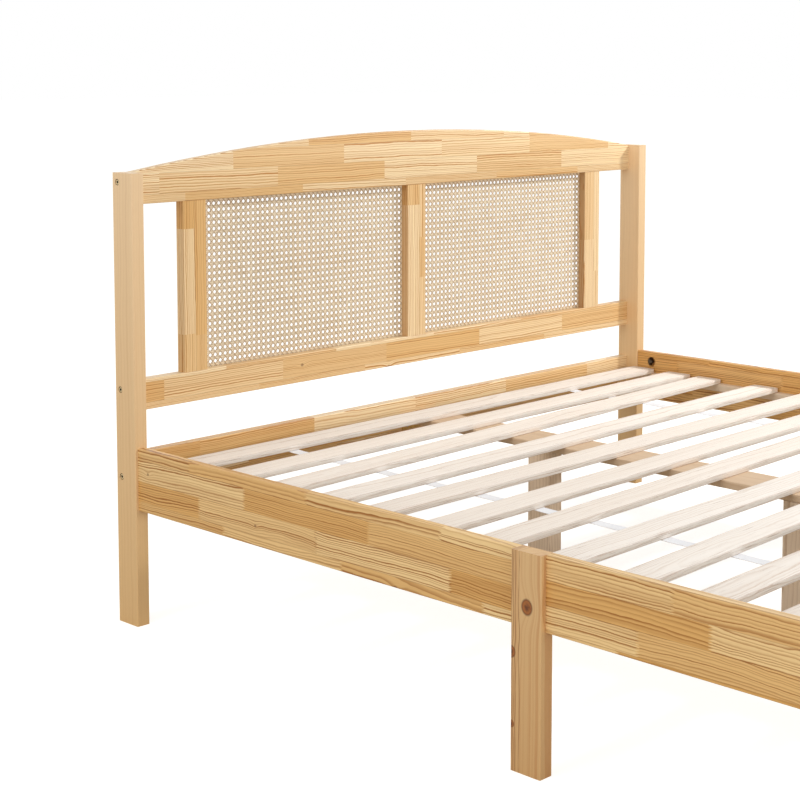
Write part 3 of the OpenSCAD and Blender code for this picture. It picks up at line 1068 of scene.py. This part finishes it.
def sweep_tree(
    name: str,
    sides: int,
    crown: float,
    wave: Optional[Callable[[GeometryTree], Wire]] = None,
    rim: Optional[Callable[[GeometryTree], Wire]] = None,
) -> GeometryTree:
    """A tree that sweeps a strip along each line of a mesh that lies about level.

    Args:
        name: The tree's name.
        sides: Sides of the strip's section: 4 is flat, and 5 has a crown and a flat back.
        crown: How far the section is turned, in degrees, so that its crown is up or its back is level.
        wave: Gives the height that each point of a strip is moved by.
        rim: Gives how near each point of the swept strip is to a hole's rim, from 0 to 1.

    Returns:
        The tree, with inputs Width, Thickness and Material.
    """
    made = GeometryTree(name)
    bench = made.bench
    width, thick = made.value("Width"), made.value("Thickness")
    line = bench.node("GeometryNodeMeshToCurve", None, {"Mesh": made.geometry()})
    if wave:
        offset = bench.vector(0.0, 0.0, wave(made))
        line = bench.node("GeometryNodeSetPosition", None, {"Geometry": line, "Offset": offset})
    line = bench.node("GeometryNodeSetCurveNormal", {"mode": "Z_UP"}, {"Curve": line})
    values = {"Resolution": sides, "Radius": 1.0}
    ring = bench.node("GeometryNodeCurvePrimitiveCircle", {"mode": "RADIUS"}, values)
    turn = (0.0, 0.0, math.radians(crown))
    ring = bench.node("GeometryNodeTransform", None, {"Geometry": ring, "Rotation": turn})
    reach = math.cos(math.pi / 4) if sides == 4 else math.cos(math.pi / 10)
    x, _, _ = made.position()
    ring = made.store(ring, "rim", x.size() / reach)
    scale = bench.vector(width * (0.5 / reach), thick * (0.5 / reach), 1.0)
    ring = bench.node("GeometryNodeTransform", None, {"Geometry": ring, "Scale": scale})
    strip = made.sweep(line, ring)
    if rim:
        strip = made.store(strip, "rim", rim(made))
    made.end(strip)
    return made


def bolt_tree() -> GeometryTree:
    """A tree that sets a turned bolt at each point, with inputs Bolt and Material."""
    made = GeometryTree("bolt_set")
    bolt = made.value("Bolt", "NodeSocketObject")
    shape = made.bench.node("GeometryNodeObjectInfo", None, {"Object": bolt}, "Geometry")
    made.end(made.set_out(shape, made.attribute("turn", vector=True)))
    return made


# The bed


@dataclass(frozen=True)
class Sizes:
    """Sizes that several pieces share, in metres."""

    cane_pitch: float = 12.7 * MM
    slat_length: float = 1.528
    slat_width: float = 65 * MM
    slat_thick: float = 11 * MM


SIZES = Sizes()


def middle(node: str) -> Vector:
    """The middle of a node's box."""
    low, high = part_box(node)
    return (Vector(low) + Vector(high)) / 2


def solids(node: str) -> list[tuple[Vector, Vector]]:
    """Finds the boxes of a node's solids.

    Args:
        node: The node.

    Returns:
        The lowest and highest corner of each solid, in order of the lowest corners.
    """
    shape = bmesh.new()
    shape.from_mesh(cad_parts[node].data)
    bmesh.ops.remove_doubles(shape, verts=shape.verts, dist=SAME_POINT)
    left, boxes = set(shape.verts), []
    while left:
        found, edge = set(), {next(iter(left))}
        while edge:
            found |= edge
            edge = {e.other_vert(v) for v in edge for e in v.link_edges} - found
        left -= found
        corners = (Vector(pick(v.co[i] for v in found) for i in range(3)) for pick in (min, max))
        boxes.append(tuple(corners))
    shape.free()
    return sorted(boxes, key=lambda box: tuple(box[0]))


def steps(low: float, high: float, step: float) -> list[float]:
    """Two ends and each multiple of a step between them."""
    inner = (k * step for k in range(math.ceil(low / step), math.floor(high / step) + 1))
    return [low, *(p for p in inner if low + step / 4 < p < high - step / 4), high]


def keep(piece: bpy.types.Object, slot: str, *nodes: str) -> None:
    """Lets a piece ride on the bed's body.

    Args:
        piece: The piece.
        slot: The record's material slot that its finish comes from.
        nodes: The CAD nodes that it stands for.
    """
    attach(piece, BODY)
    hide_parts(*nodes)


def paint_with(piece: bpy.types.Object, material: bpy.types.Material) -> None:
    """Gives a piece one material."""
    piece.data.materials.clear()
    piece.data.materials.append(material)


def dress(node: str, material: bpy.types.Material) -> None:
    """Gives a CAD node a material and reports it."""
    paint_with(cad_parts[node], material)
    LOG.info("dressed %s with %s", node, material.name)


PALE, STRAW, HONEY, AMBER = Tone

CREST_STAVES = (
    Stave(STRAW, ((-0.643, HONEY), (-0.337, PALE), (-0.035, STRAW), (0.265, HONEY), (0.562, PALE))),
    Stave(PALE, ((-0.705, STRAW), (-0.405, HONEY), (-0.100, PALE), (0.197, STRAW), (0.500, PALE))),
    Stave(PALE, ((-0.522, HONEY), (-0.220, PALE), (0.080, STRAW), (0.382, HONEY), (0.682, PALE))),
    Stave(STRAW, ((-0.320, AMBER), (-0.018, STRAW), (0.290, PALE), (0.380, HONEY))),
)
LOWER_RAIL_STAVES = (
    Stave(STRAW, ((-0.460, HONEY), (-0.160, STRAW), (0.140, HONEY), (0.440, STRAW))),
    Stave(AMBER, ((-0.700, STRAW), (-0.395, HONEY), (-0.095, AMBER), (0.207, STRAW), (0.507, HONEY))),
    Stave(PALE, ((-0.545, HONEY), (-0.245, PALE), (0.055, STRAW), (0.355, HONEY))),
)
LEFT_STILE_STAVES = (
    Stave(HONEY, ((0.545, STRAW), (0.753, AMBER))),
    Stave(HONEY, ((0.541, AMBER),)),
)
CENTRE_STILE_STAVES = (
    Stave(PALE, ((0.763, HONEY),)),
    Stave(STRAW, ((0.600, HONEY), (0.690, STRAW))),
)
RIGHT_STILE_STAVES = (Stave(PALE, ((0.640, STRAW),)), Stave(PALE, ((0.560, PALE),)))
LEFT_HEAD_STAVES = (
    Stave(PALE, ((0.102, HONEY), (0.425, STRAW), (0.735, HONEY))),
    Stave(AMBER, ((0.172, PALE), (0.488, STRAW), (0.805, AMBER))),
    Stave(HONEY, ((0.358, AMBER), (0.677, PALE))),
    Stave(PALE, ((0.195, STRAW), (0.513, HONEY), (0.835, STRAW))),
)
RIGHT_HEAD_STAVES = (
    Stave(AMBER, ((0.310, AMBER), (0.620, HONEY))),
    Stave(AMBER, ((0.200, AMBER), (0.510, HONEY), (0.820, AMBER))),
    Stave(AMBER, ((0.250, AMBER), (0.560, HONEY), (0.865, AMBER))),
    Stave(AMBER, ((0.150, HONEY), (0.460, AMBER), (0.770, AMBER))),
)
LEFT_FOOT_STAVES = (
    Stave(STRAW, ((-0.780, AMBER), (-0.470, AMBER), (-0.160, STRAW))),
    Stave(STRAW, ((-0.820, PALE), (-0.510, HONEY), (-0.197, PALE))),
    Stave(HONEY, ((-0.930, STRAW), (-0.630, PALE), (-0.322, AMBER))),
    Stave(PALE, ((-0.870, AMBER), (-0.560, HONEY), (-0.257, STRAW))),
)


@dataclass
class Headboard:
    """Posts, rails and stiles, and the cane between them.

    pair_gap is the distance between the middles of a pair of strands, wave how far a strand bends out of the
    panel, and cane_edge how far slanted strands end from its edges. arch_room is how far from the arc the
    points of the crest rail's arch may lie.
    """

    laminate: Pine = HEAD_PINE
    solid: Pine = POST_PINE
    strand_width: float = 2.7 * MM
    pair_gap: float = 3.0 * MM
    strand_thick: float = 0.55 * MM
    wave: float = 0.55 * MM
    cane_edge: float = 1.5 * MM
    crest_ease: float = 2.5 * MM
    arch_room: float = 0.2 * MM
    post_x: float = 0.781
    post_y: float = 1.015

    def build(self) -> None:
        """Makes and dresses the headboard."""
        self.rails()
        self.posts()
        tree = self.cane_tree()
        cane = CaneFinish().material("split_cane")
        spline = SolidPine(PALE_PINE, Grain.ALONG_X, (0.2, 0.3), seed=31.0).material("cane_spline_wood")
        for side in ("left", "right"):
            self.cane(side, tree, cane)
            dress(f"cane_spline_{side}", spline)

    def rails(self) -> None:
        """Dresses the rails and stiles, and eases the crest rail's edges."""
        wood = self.laminate
        deep = middle("crest_rail").y
        across = Grain.ALONG_X
        crest = LaminatedPine(wood, across, 0.7855, deep, seed=11.0, staves=CREST_STAVES)
        boards = {
            "lower_head_rail": LaminatedPine(wood, across, 0.3835, deep, seed=21.0, staves=LOWER_RAIL_STAVES),
            "head_end_rail": LaminatedPine(wood, across, 0.227, deep, 0.036, seed=33.0),
        }
        # The fourth value paints shade on the narrow side faces of the centre and right stiles.
        for node, low, width, side_shade, staves in (
            ("stile_left", -0.6495, 0.0285, 0.0, LEFT_STILE_STAVES),
            ("stile_centre", -0.0290, 0.0380, 0.48, CENTRE_STILE_STAVES),
            ("stile_right", 0.5920, 0.0360, 0.48, RIGHT_STILE_STAVES),
        ):
            boards[node] = LaminatedPine(
                wood, Grain.UPRIGHT, low, deep, width, low, side_shade=side_shade, staves=staves
            )
        for node, board in boards.items():
            dress(node, board.material(f"pine_{node}"))
        rail = self.eased_crest()
        paint_with(rail, crest.material("pine_crest_rail"))
        keep(rail, "laminated_pine", "crest_rail")
        LOG.info("made %s", rail.name)

    def eased_crest(self) -> bpy.types.Object:
        """Eases the long edges of the crest rail.

        Returns:
            A copy of the rail, eased.
        """
        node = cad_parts["crest_rail"]
        mesh = node.data.copy()
        shape = bmesh.new()
        shape.from_mesh(mesh)
        bmesh.ops.remove_doubles(shape, verts=shape.verts, dist=SAME_POINT)
        bmesh.ops.dissolve_limit(shape, angle_limit=math.radians(0.05), verts=shape.verts, edges=shape.edges)
        low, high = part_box("crest_rail")
        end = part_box("head_post_left")[1][2]
        faces = (low[1], high[1])
        edges = []
        for edge in shape.edges:
            a, b = (v.co for v in edge.verts)
            flat = all(min(abs(p.y - y) for y in faces) < SAME_PLACE for p in (a, b))
            outline = all(self.on_outline(p, low, high, end) for p in (a, b))
            if flat and outline and abs(a.y - b.y) < SAME_POINT and abs(a.x - b.x) > SAME_PLACE:
                edges.append(edge)
        bmesh.ops.bevel(
            shape,
            geom=edges,
            offset=self.crest_ease,
            segments=3,
            profile=0.5,
            affect="EDGES",
            clamp_overlap=False,
        )
        shape.to_mesh(mesh)
        shape.free()
        smoothed(mesh, 35)
        return add_object("crest_rail_eased", mesh)

    def on_outline(self, point: Vector, low: Sequence[float], high: Sequence[float], end: float) -> bool:
        """Tells whether a point is on a long edge that is eased.

        Args:
            point: The point.
            low: The rail's lowest corner.
            high: Its highest corner.
            end: The height at which its arch ends.

        Returns:
            Whether the point lies on the arch, or on the lower edge at the front.
        """
        half = high[0]
        rise = high[2] - end
        radius = (half * half + rise * rise) / (2 * rise)
        arch = math.hypot(point.x, point.z - (high[2] - radius))
        at_front = abs(point.y - low[1]) < SAME_PLACE
        return abs(arch - radius) < self.arch_room or (at_front and abs(point.z - low[2]) < SAME_PLACE)

    def posts(self) -> None:
        """Dresses the head posts."""
        for side, x in (("left", -self.post_x), ("right", self.post_x)):
            heart = (self.post_y - 0.07, x + 0.09)
            # Painted shade: the post's tone is darkest at the floor and drifts paler upwards.
            board = SolidPine(self.solid, Grain.UPRIGHT_DEEP, heart, tone=1.0, drift=-0.9, seed=x * 10)
            dress(f"head_post_{side}", board.material(f"pine_head_post_{side}"))

    def cane_tree(self) -> GeometryTree:
        """Makes the tree that weaves strands from lines.

        Returns:
            The tree, with the inputs of sweep_tree.
        """
        turn = 2 * math.pi / SIZES.cane_pitch
        half_pair = (self.pair_gap + self.strand_width) / 2

        def wave(made: GeometryTree) -> Wire:
            """Bends the strands over and under, so that none runs through another.

            Args:
                made: The tree.

            Returns:
                Each point's depth.
            """
            x, y, _ = made.position()
            kind = made.attribute("kind")
            swell = (y * turn).cosine() * 0.5 + 0.5
            upright = (kind < BELOW_CROSS) * (kind * 2.0 - 1.0) * swell
            slanted = (kind > ABOVE_CROSS) * (7.0 - kind * 2.0) * (x * turn).cosine()
            return (upright + slanted) * self.wave

        def rim(made: GeometryTree) -> Wire:
            """Finds the outer edges of the pairs of strands and of the slanted ones.

            Args:
                made: The tree.

            Returns:
                0 in the middle of a pair or a slanted strand, and 1 at its outer edges.
            """
            x, y, _ = made.position()
            kind = made.attribute("kind")
            beside, above = (
                ((place / SIZES.cane_pitch + 0.5).fract() - 0.5).size() * (SIZES.cane_pitch / half_pair)
                for place in (x, y)
            )
            upright, slanted = kind < BELOW_CROSS, kind > ABOVE_CROSS
            return upright * beside + (1.0 - upright - slanted) * above + slanted * made.attribute("rim")

        return sweep_tree("cane_weave", 5, 90.0, wave, rim)

    def strands(self, half_x: float, half_z: float) -> list[tuple[Strand, list[Point]]]:
        """The strands of one panel, centred and lying flat.

        Args:
            half_x: Half of the panel's width.
            half_z: Half of its height.

        Returns:
            Each strand's kind and its points.
        """
        pitch, made = SIZES.cane_pitch, []
        columns, rows = int(half_x / pitch) + 1, int(half_z / pitch) + 1
        for k in range(-columns, columns + 1):
            for kind, shift in ((Strand.UPRIGHT_BACK, -0.5), (Strand.UPRIGHT_FRONT, 0.5)):
                x = k * pitch + shift * self.pair_gap
                if abs(x) < half_x - self.strand_width / 2:
                    made.append((kind, [(x, y, 0.0) for y in steps(-half_z, half_z, pitch / 3)]))
        for k in range(-rows, rows + 1):
            for shift in (-0.5, 0.5):
                y = k * pitch + shift * self.pair_gap
                if abs(y) < half_z - self.strand_width / 2:
                    made.append((Strand.CROSS, [(-half_x, y, 0.0), (half_x, y, 0.0)]))
        edge_x, edge_z = half_x - self.cane_edge, half_z - self.cane_edge
        for k in range(-columns - rows, columns + rows):
            for kind, slope in ((Strand.RISING, 1), (Strand.FALLING, -1)):
                rise = (k + 0.5) * pitch
                start, end = max(-edge_x, -edge_z - slope * rise), min(edge_x, edge_z - slope * rise)
                if end - start > pitch / 2:
                    made.append((kind, [(x, slope * x + rise, 0.0) for x in steps(start, end, pitch / 4)]))
        return made

    def cane(self, side: str, tree: GeometryTree, material: bpy.types.Material) -> None:
        """Weaves one panel over its CAD sheet.

        Args:
            side: The panel's side, left or right.
            tree: The tree that weaves.
            material: The cane's material.
        """
        low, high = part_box(f"cane_panel_{side}")
        points, edges, kinds, numbers = [], [], [], []
        for number, (kind, line) in enumerate(self.strands((high[0] - low[0]) / 2, (high[2] - low[2]) / 2)):
            edges += [(len(points) + i, len(points) + i + 1) for i in range(len(line) - 1)]
            points += line
            kinds += [kind.value] * len(line)
            numbers += [float(number)] * len(line)
        piece = mesh_object(f"cane_weave_{side}", points, edges)
        values_on(piece, "kind", "FLOAT", kinds)
        values_on(piece, "strand", "FLOAT", numbers)
        sizes = {"Width": self.strand_width, "Thickness": self.strand_thick}
        tree.run(piece, {**sizes, "Material": material}, smooth=80)
        centre = middle(f"cane_panel_{side}")
        piece.data.transform(Matrix.Translation(centre) @ Matrix.Rotation(math.pi / 2, 4, "X"))
        keep(piece, "cane", f"cane_panel_{side}")
        LOG.info("wove %s, %d strands, %d faces", piece.name, int(numbers[-1]) + 1, len(piece.data.polygons))


MIDDLE_LEG_KNOTS = (
    Knot(0.262, -0.002, -0.800, 0.0105),
    Knot(0.187, 0.0285, -0.800, 0.0078),
    Knot(0.074, 0.0275, -0.800, 0.0048),
)
MIDDLE_LEG_STREAKS = (0.0278, 0.0245, 0.0205, 0.0130)


@dataclass
class Rails:
    """Side rails, foot rail and legs. comb is the length of the fingers between blocks."""

    laminate: Pine = RAIL_PINE
    solid: Pine = LEG_PINE
    comb: float = 9 * MM
    leg_x: float = 0.786
    foot_y: float = -1.015

    def build(self) -> None:
        """Dresses the rails and legs."""
        for node, low, width, seed, staves in (
            ("side_rail_left_head", 0.2047, 0.040, 51.0, LEFT_HEAD_STAVES),
            ("side_rail_left_foot", 0.1935, 0.038, 58.0, LEFT_FOOT_STAVES),
            ("side_rail_right_head", 0.2130, 0.040, 65.0, RIGHT_HEAD_STAVES),
            ("side_rail_right_foot", 0.2100, 0.039, 72.0, ()),
        ):
            board = LaminatedPine(
                self.laminate, Grain.ALONG_Y, low, middle(node).x, width, seed, reach=self.comb, staves=staves
            )
            dress(node, board.material(f"pine_{node}"))
        deep = middle("foot_rail").y
        foot = LaminatedPine(self.laminate, Grain.ALONG_X, 0.2180, deep, seed=83.0, reach=self.comb)
        dress("foot_rail", foot.material("pine_foot_rail"))
        for side, sign in (("left", -1), ("right", 1)):
            for place, y in (("middle", 0.0), ("foot", self.foot_y)):
                knotty = (side, place) == ("left", "middle")
                # Painted shade: the legs' tone is darkest at the floor and drifts paler upwards.
                board = SolidPine(
                    self.solid,
                    Grain.UPRIGHT_DEEP,
                    (y + 0.055, sign * self.leg_x + 0.03),
                    tone=0.86,
                    drift=-1.25,
                    seed=sign * 3.0 + y,
                    lean=(0.004, 0.004),
                    knots=MIDDLE_LEG_KNOTS if knotty else (),
                    streaks=MIDDLE_LEG_STREAKS if knotty else (),
                )
                dress(f"{place}_leg_{side}", board.material(f"pine_{place}_leg_{side}"))


@dataclass
class SlatDeck:
    """Slats, ledgers, beam, centre legs and straps.

    edge and end_edge are how round a slat's long edges and its ends are, and end_reach is how far from its
    tips its ends are measured. sag is how far a strap hangs between two slats.
    """

    raw: Pine = RAW_PINE
    beam: Pine = SHADED_RAW_PINE
    count: int = 15
    edge: float = 1.5 * MM
    end_edge: float = 1 * MM
    end_reach: float = 10 * MM
    sag: float = 0.8 * MM
    sag_steps: int = 8

    def build(self) -> None:
        """Makes and dresses the deck."""
        self.slats()
        self.under()
        self.straps()

    def slats(self) -> None:
        """Makes the slats over their CAD bars, with eased ends."""
        made = GeometryTree("slats")
        bench = made.bench
        length, width, thick, edge = (made.value(n) for n in ("Length", "Width", "Thickness", "Edge"))
        start, end = (bench.vector(length * half, 0.0, 0.0) for half in (-0.5, 0.5))
        line = bench.node("GeometryNodeCurvePrimitiveLine", None, {"Start": start, "End": end})
        sides = {"Width": width, "Height": thick}
        profile = bench.node("GeometryNodeCurvePrimitiveQuadrilateral", {"mode": "RECTANGLE"}, sides)
        corner = {"Curve": profile, "Count": 4, "Radius": edge}
        profile = bench.node("GeometryNodeFilletCurve", {"mode": "POLY"}, corner)
        x, _, _ = made.position()
        profile = made.store(profile, "across", x / (width * 0.5))
        bar = made.sweep(line, profile)
        made.end(made.set_out(bar, bench.vector(0.0, 0.0, made.attribute("turn"))))
        nodes = self.slat_nodes()
        piece = mesh_object("slat_set", [tuple(middle(node)) for node in nodes])
        values_on(piece, "turn", "FLOAT", [self.turn_of(node) for node in nodes])
        values_on(piece, "slat", "FLOAT", [float(k + 1) for k in range(self.count)])
        sizes = {
            "Length": SIZES.slat_length,
            "Width": SIZES.slat_width,
            "Thickness": SIZES.slat_thick,
            "Edge": self.edge,
        }
        material = SlatPine(self.raw, SIZES.slat_width).material("raw_pine_slats")
        made.run(piece, {**sizes, "Material": material})
        bevel = piece.modifiers.new("ease", "BEVEL")
        bevel.width, bevel.segments = self.end_edge, 2
        bevel.limit_method, bevel.angle_limit = "ANGLE", math.radians(50)
        plain(piece, smooth=30)
        keep(piece, "raw_pine", *nodes)
        LOG.info("laid %s, %d faces", piece.name, len(piece.data.polygons))

    def slat_nodes(self) -> list[str]:
        """The slats' CAD nodes."""
        return [f"slat_{k + 1:02d}" for k in range(self.count)]

    def turn_of(self, node: str) -> float:
        """Measures how far a slat is turned.

        Args:
            node: Its CAD node.

        Returns:
            Its turn about Z, in radians.
        """
        low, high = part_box(node)
        corners = [v.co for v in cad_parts[node].data.vertices]
        left = [p.y for p in corners if p.x < low[0] + self.end_reach]
        right = [p.y for p in corners if p.x > high[0] - self.end_reach]
        return math.atan2((min(right) + max(right) - min(left) - max(left)) / 2, high[0] - low[0])

    def under(self) -> None:
        """Dresses the ledgers, beam and centre legs."""
        for number, place in enumerate(("left_head", "left_foot", "right_head", "right_foot")):
            board = SolidPine(self.beam, Grain.ALONG_Y, (0.25, 0.03), tone=0.3, seed=5.0 + number)
            dress(f"ledger_{place}", board.material(f"raw_ledger_{place}"))
        for number, place in enumerate(("head", "foot")):
            board = SolidPine(self.beam, Grain.ALONG_Y, (0.25, 0.02), tone=0.8, seed=12.0 + number)
            dress(f"centre_beam_{place}", board.material(f"raw_beam_{place}"))
        for number, place in enumerate(("head", "middle", "foot")):
            y = middle(f"centre_leg_{place}").y
            board = SolidPine(self.beam, Grain.UPRIGHT, (0.03, y + 0.06), tone=0.15, seed=17.0 + number)
            dress(f"centre_leg_{place}", board.material(f"raw_centre_leg_{place}"))

    def straps(self) -> None:
        """Makes the tape straps, which sag a little between the slats."""
        tree = sweep_tree("tape", 4, 45.0)
        tape = TapeFinish().material("white_tape")
        for side in ("left", "right"):
            low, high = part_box(f"strap_{side}")
            thick = high[2] - low[2]
            x, z = (low[0] + high[0]) / 2, high[2] - thick / 2
            stations = [middle(node).y + math.tan(self.turn_of(node)) * x for node in self.slat_nodes()]
            points = [(x, high[1], z)]
            for a, b in zip(stations, stations[1:]):
                near, far = a - SIZES.slat_width / 2, b + SIZES.slat_width / 2
                for k in range(self.sag_steps + 1):
                    share = k / self.sag_steps
                    dip = self.sag * 4 * share * (1 - share)
                    points.append((x, near + (far - near) * share, z - dip))
            points.append((x, low[1], z))
            piece = mesh_object(f"strap_tape_{side}", points, [(i, i + 1) for i in range(len(points) - 1)])
            sizes = {"Width": high[0] - low[0], "Thickness": thick}
            tree.run(piece, {**sizes, "Material": tape}, smooth=40)
            keep(piece, "webbing", f"strap_{side}")
            LOG.info("stapled %s, %d faces", piece.name, len(piece.data.polygons))


ZINC_NODES = (
    "barrel_nuts",
    "middle_rods",
    "bracket_screws",
    "ledger_screws",
    "leg_screws",
    "strap_staples",
)


@dataclass
class Fittings:
    """Bolts, nuts, rods, washers, screws, staples and brackets."""

    zinc: Steel = Steel(srgb(196, 196, 192), 0.32)
    dull: Steel = Steel(srgb(112, 104, 94), 0.5)
    yellow: Steel = Steel(srgb(210, 168, 102), 0.5)
    bolt: Steel = Steel(srgb(255, 232, 184), 0.5)
    head_radius: float = 6 * MM
    head_height: float = 4 * MM
    shank_radius: float = 3 * MM
    socket: float = 2.2 * MM
    lip: float = 0.4 * MM

    def build(self) -> None:
        """Makes the bolts and dresses the rest."""
        for finish, name, nodes in (
            (self.zinc, "zinc_steel", ZINC_NODES),
            (self.dull, "dull_zinc_steel", ("half_moon_washers", "rail_nuts")),
            (self.yellow, "yellow_zinc_steel", ("beam_brackets",)),
        ):
            material = finish.material(name)
            for node in nodes:
                dress(node, material)
        steel, tree = self.bolt.material("bolt_steel"), bolt_tree()
        self.bolts("corner_bolts", 0, tree, steel)
        self.bolts("rail_bolts", 1, tree, steel)
        beech = SolidPine(PALE_PINE, Grain.ALONG_X, (0.1, 0.2), tone=0.6, seed=3.0).material("dowel_wood")
        dress("dowels", beech)

    def bolts(self, node: str, axis: int, tree: GeometryTree, steel: bpy.types.Material) -> None:
        """Sets turned bolts, with a hexagon socket, over the CAD ones.

        Args:
            node: The CAD node.
            axis: 0 where the bolts lie along X, and 1 along Y.
            tree: The tree that sets them out.
            steel: Their material.
        """
        boxes = solids(node)
        points, turns = [], []
        for low, high in boxes:
            place = (low + high) / 2
            sign = 1 if place[axis] > 0 else -1
            place[axis] = high[axis] if sign > 0 else low[axis]
            points.append(tuple(place))
            turns.append((0.0, sign * math.pi / 2, 0.0) if axis == 0 else (-sign * math.pi / 2, 0.0, 0.0))
        length = boxes[0][1][axis] - boxes[0][0][axis]
        head, shank, socket, lip = self.head_radius, self.shank_radius, self.socket, self.lip
        rings = (
            (socket, -self.head_height * 0.6, True),
            (socket, -lip, True),
            (socket + lip, 0.0, False),
            (socket + lip * 1.5, 0.0, False),
            (head - lip * 3.4, 0.0, False),
            (head - lip * 3, 0.0, False),
            (head, -lip * 2, False),
            (head, -self.head_height, False),
            (shank, -self.head_height, False),
            (shank, lip * 2 - length, False),
            (shank - lip, -length, False),
        )
        pattern = add_object("bolt_pattern", lathe(rings))
        sides = len(pattern.data.vertices) // len(rings)
        bright = (3, 4)  # the rings on the head's flat face
        # Every ring but these is painted dark as shade: the socket, the rim round the head and the shank.
        recess_shade = [float(k not in bright) for k in range(len(rings)) for _ in range(sides)]
        values_on(pattern, "recess_shade", "FLOAT", recess_shade)
        piece = mesh_object(f"{node}_turned", points)
        values_on(piece, "turn", "FLOAT_VECTOR", turns)
        tree.run(piece, {"Bolt": pattern, "Material": steel}, smooth=35)
        bpy.data.objects.remove(pattern)
        keep(piece, "black_steel", node)
        LOG.info("turned %s, %d bolts, %d faces", piece.name, len(boxes), len(piece.data.polygons))


@dataclass(frozen=True)
class Lamp:
    """A soft round lamp: its place, the point it faces, its diameter, and its power in watts."""

    name: str
    place: Point
    aim: Point
    size: float
    power: float

    def hang(self) -> None:
        """Makes the lamp."""
        light = bpy.data.lights.new(self.name, "AREA")
        light.shape, light.size, light.energy = "DISK", self.size, self.power
        turn = (Vector(self.place) - Vector(self.aim)).to_track_quat("Z", "Y")
        add_object(self.name, light).matrix_world = Matrix.Translation(self.place) @ turn.to_matrix().to_4x4()


LAMPS = (
    Lamp("key", (2.37, -0.48, 2.35), (0.2, 0.6, 0.5), 0.35, 58.0),
    Lamp("fill", (-7.0, 0.9, 3.2), (-0.2, 0.3, 0.4), 4.0, 150.0),
    Lamp("front", (-2.0, -4.8, 0.9), (-0.3, 0.3, 0.3), 2.5, 70.0),
)


@dataclass
class Studio:
    """Camera, light, floor and background.

    The camera's turn is in degrees, and its focal length and centre are in pixels of a square frame. sky is
    the strength of the world's light, and floor_glow what the floor shows the camera beyond the light on it.
    """

    lamps: tuple[Lamp, ...] = LAMPS
    eye: Point = (-2.7075, -1.6495, 1.0789)
    yaw: float = 46.365
    pitch: float = 5.195
    roll: float = -0.081
    focal: float = 1715.9
    centre: tuple[float, float] = (445.0, 218.0)
    frame_size: float = 800.0
    sensor: float = 36.0
    far: float = 100.0
    sky: float = 0.58
    floor_tone: Colour = (0.56, 0.53, 0.48)
    floor_glow: float = 0.76
    floor_half: float = 40.0
    white: Colour = (1.0, 1.0, 1.0)

    def build(self) -> None:
        """Makes the whole studio."""
        self.camera()
        self.lights()
        self.floor()
        bpy.context.scene.view_settings.view_transform = "Standard"

    def camera(self) -> None:
        """Makes the camera from its measured place, turn and principal point."""
        yaw, pitch, roll = (math.radians(a) for a in (self.yaw, self.pitch, self.roll))
        ahead = Vector((math.sin(yaw) * math.cos(pitch), math.cos(yaw) * math.cos(pitch), -math.sin(pitch)))
        right = Vector((math.cos(yaw), -math.sin(yaw), 0.0))
        down = ahead.cross(right)
        across = math.cos(roll) * right + math.sin(roll) * down
        below = -math.sin(roll) * right + math.cos(roll) * down
        turn = Matrix((across, -below, -ahead)).transposed().to_4x4()
        lens = bpy.data.cameras.new("camera")
        lens.sensor_width = self.sensor
        lens.lens = self.focal * lens.sensor_width / self.frame_size
        lens.shift_x = (self.frame_size / 2 - self.centre[0]) / self.frame_size
        lens.shift_y = (self.centre[1] - self.frame_size / 2) / self.frame_size
        lens.clip_end = self.far
        camera = add_object("camera", lens)
        camera.matrix_world = Matrix.Translation(self.eye) @ turn
        bpy.context.scene.camera = camera

    def lights(self) -> None:
        """Hangs the lamps and makes an even sky that shows white."""
        for lamp in self.lamps:
            lamp.hang()
        world = bpy.data.worlds.new("studio")
        bpy.context.scene.world = world
        bench = fresh_bench(world)
        path = bench.node("ShaderNodeLightPath", out="Is Camera Ray")
        seen = path.most(bench.other(path, "Is Glossy Ray")).most(bench.other(path, "Is Transmission Ray"))
        strength = seen * (1.0 - self.sky) + self.sky
        light = bench.node("ShaderNodeBackground", None, {"Color": self.white, "Strength": strength})
        bench.close("ShaderNodeOutputWorld", light)

    def floor(self) -> None:
        """Makes the white floor, which keeps the bed's shadow."""
        material = bpy.data.materials.new("studio_floor")
        bench = fresh_bench(material)
        path = bench.node("ShaderNodeLightPath", out="Is Camera Ray")
        matt = bench.node("ShaderNodeBsdfDiffuse", None, {"Color": self.floor_tone})
        glow = {"Color": self.white, "Strength": path * self.floor_glow}
        light = bench.node("ShaderNodeEmission", None, glow)
        both = bench.node("ShaderNodeAddShader", None, {0: matt, 1: light})
        bench.close("ShaderNodeOutputMaterial", both)
        half = self.floor_half
        corners = [(-half, -half, 0), (half, -half, 0), (half, half, 0), (-half, half, 0)]
        ground = mesh_object("studio_ground", corners, (), [(0, 1, 2, 3)])
        paint_with(ground, material)


def main() -> None:
    """Builds the bed's looks in order, then notes both boxes."""
    logging.basicConfig(level=logging.INFO, format="%(message)s")
    Studio().build()
    Headboard().build()
    Rails().build()
    SlatDeck().build()
    Fittings().build()


if __name__ == "__main__":
    main()
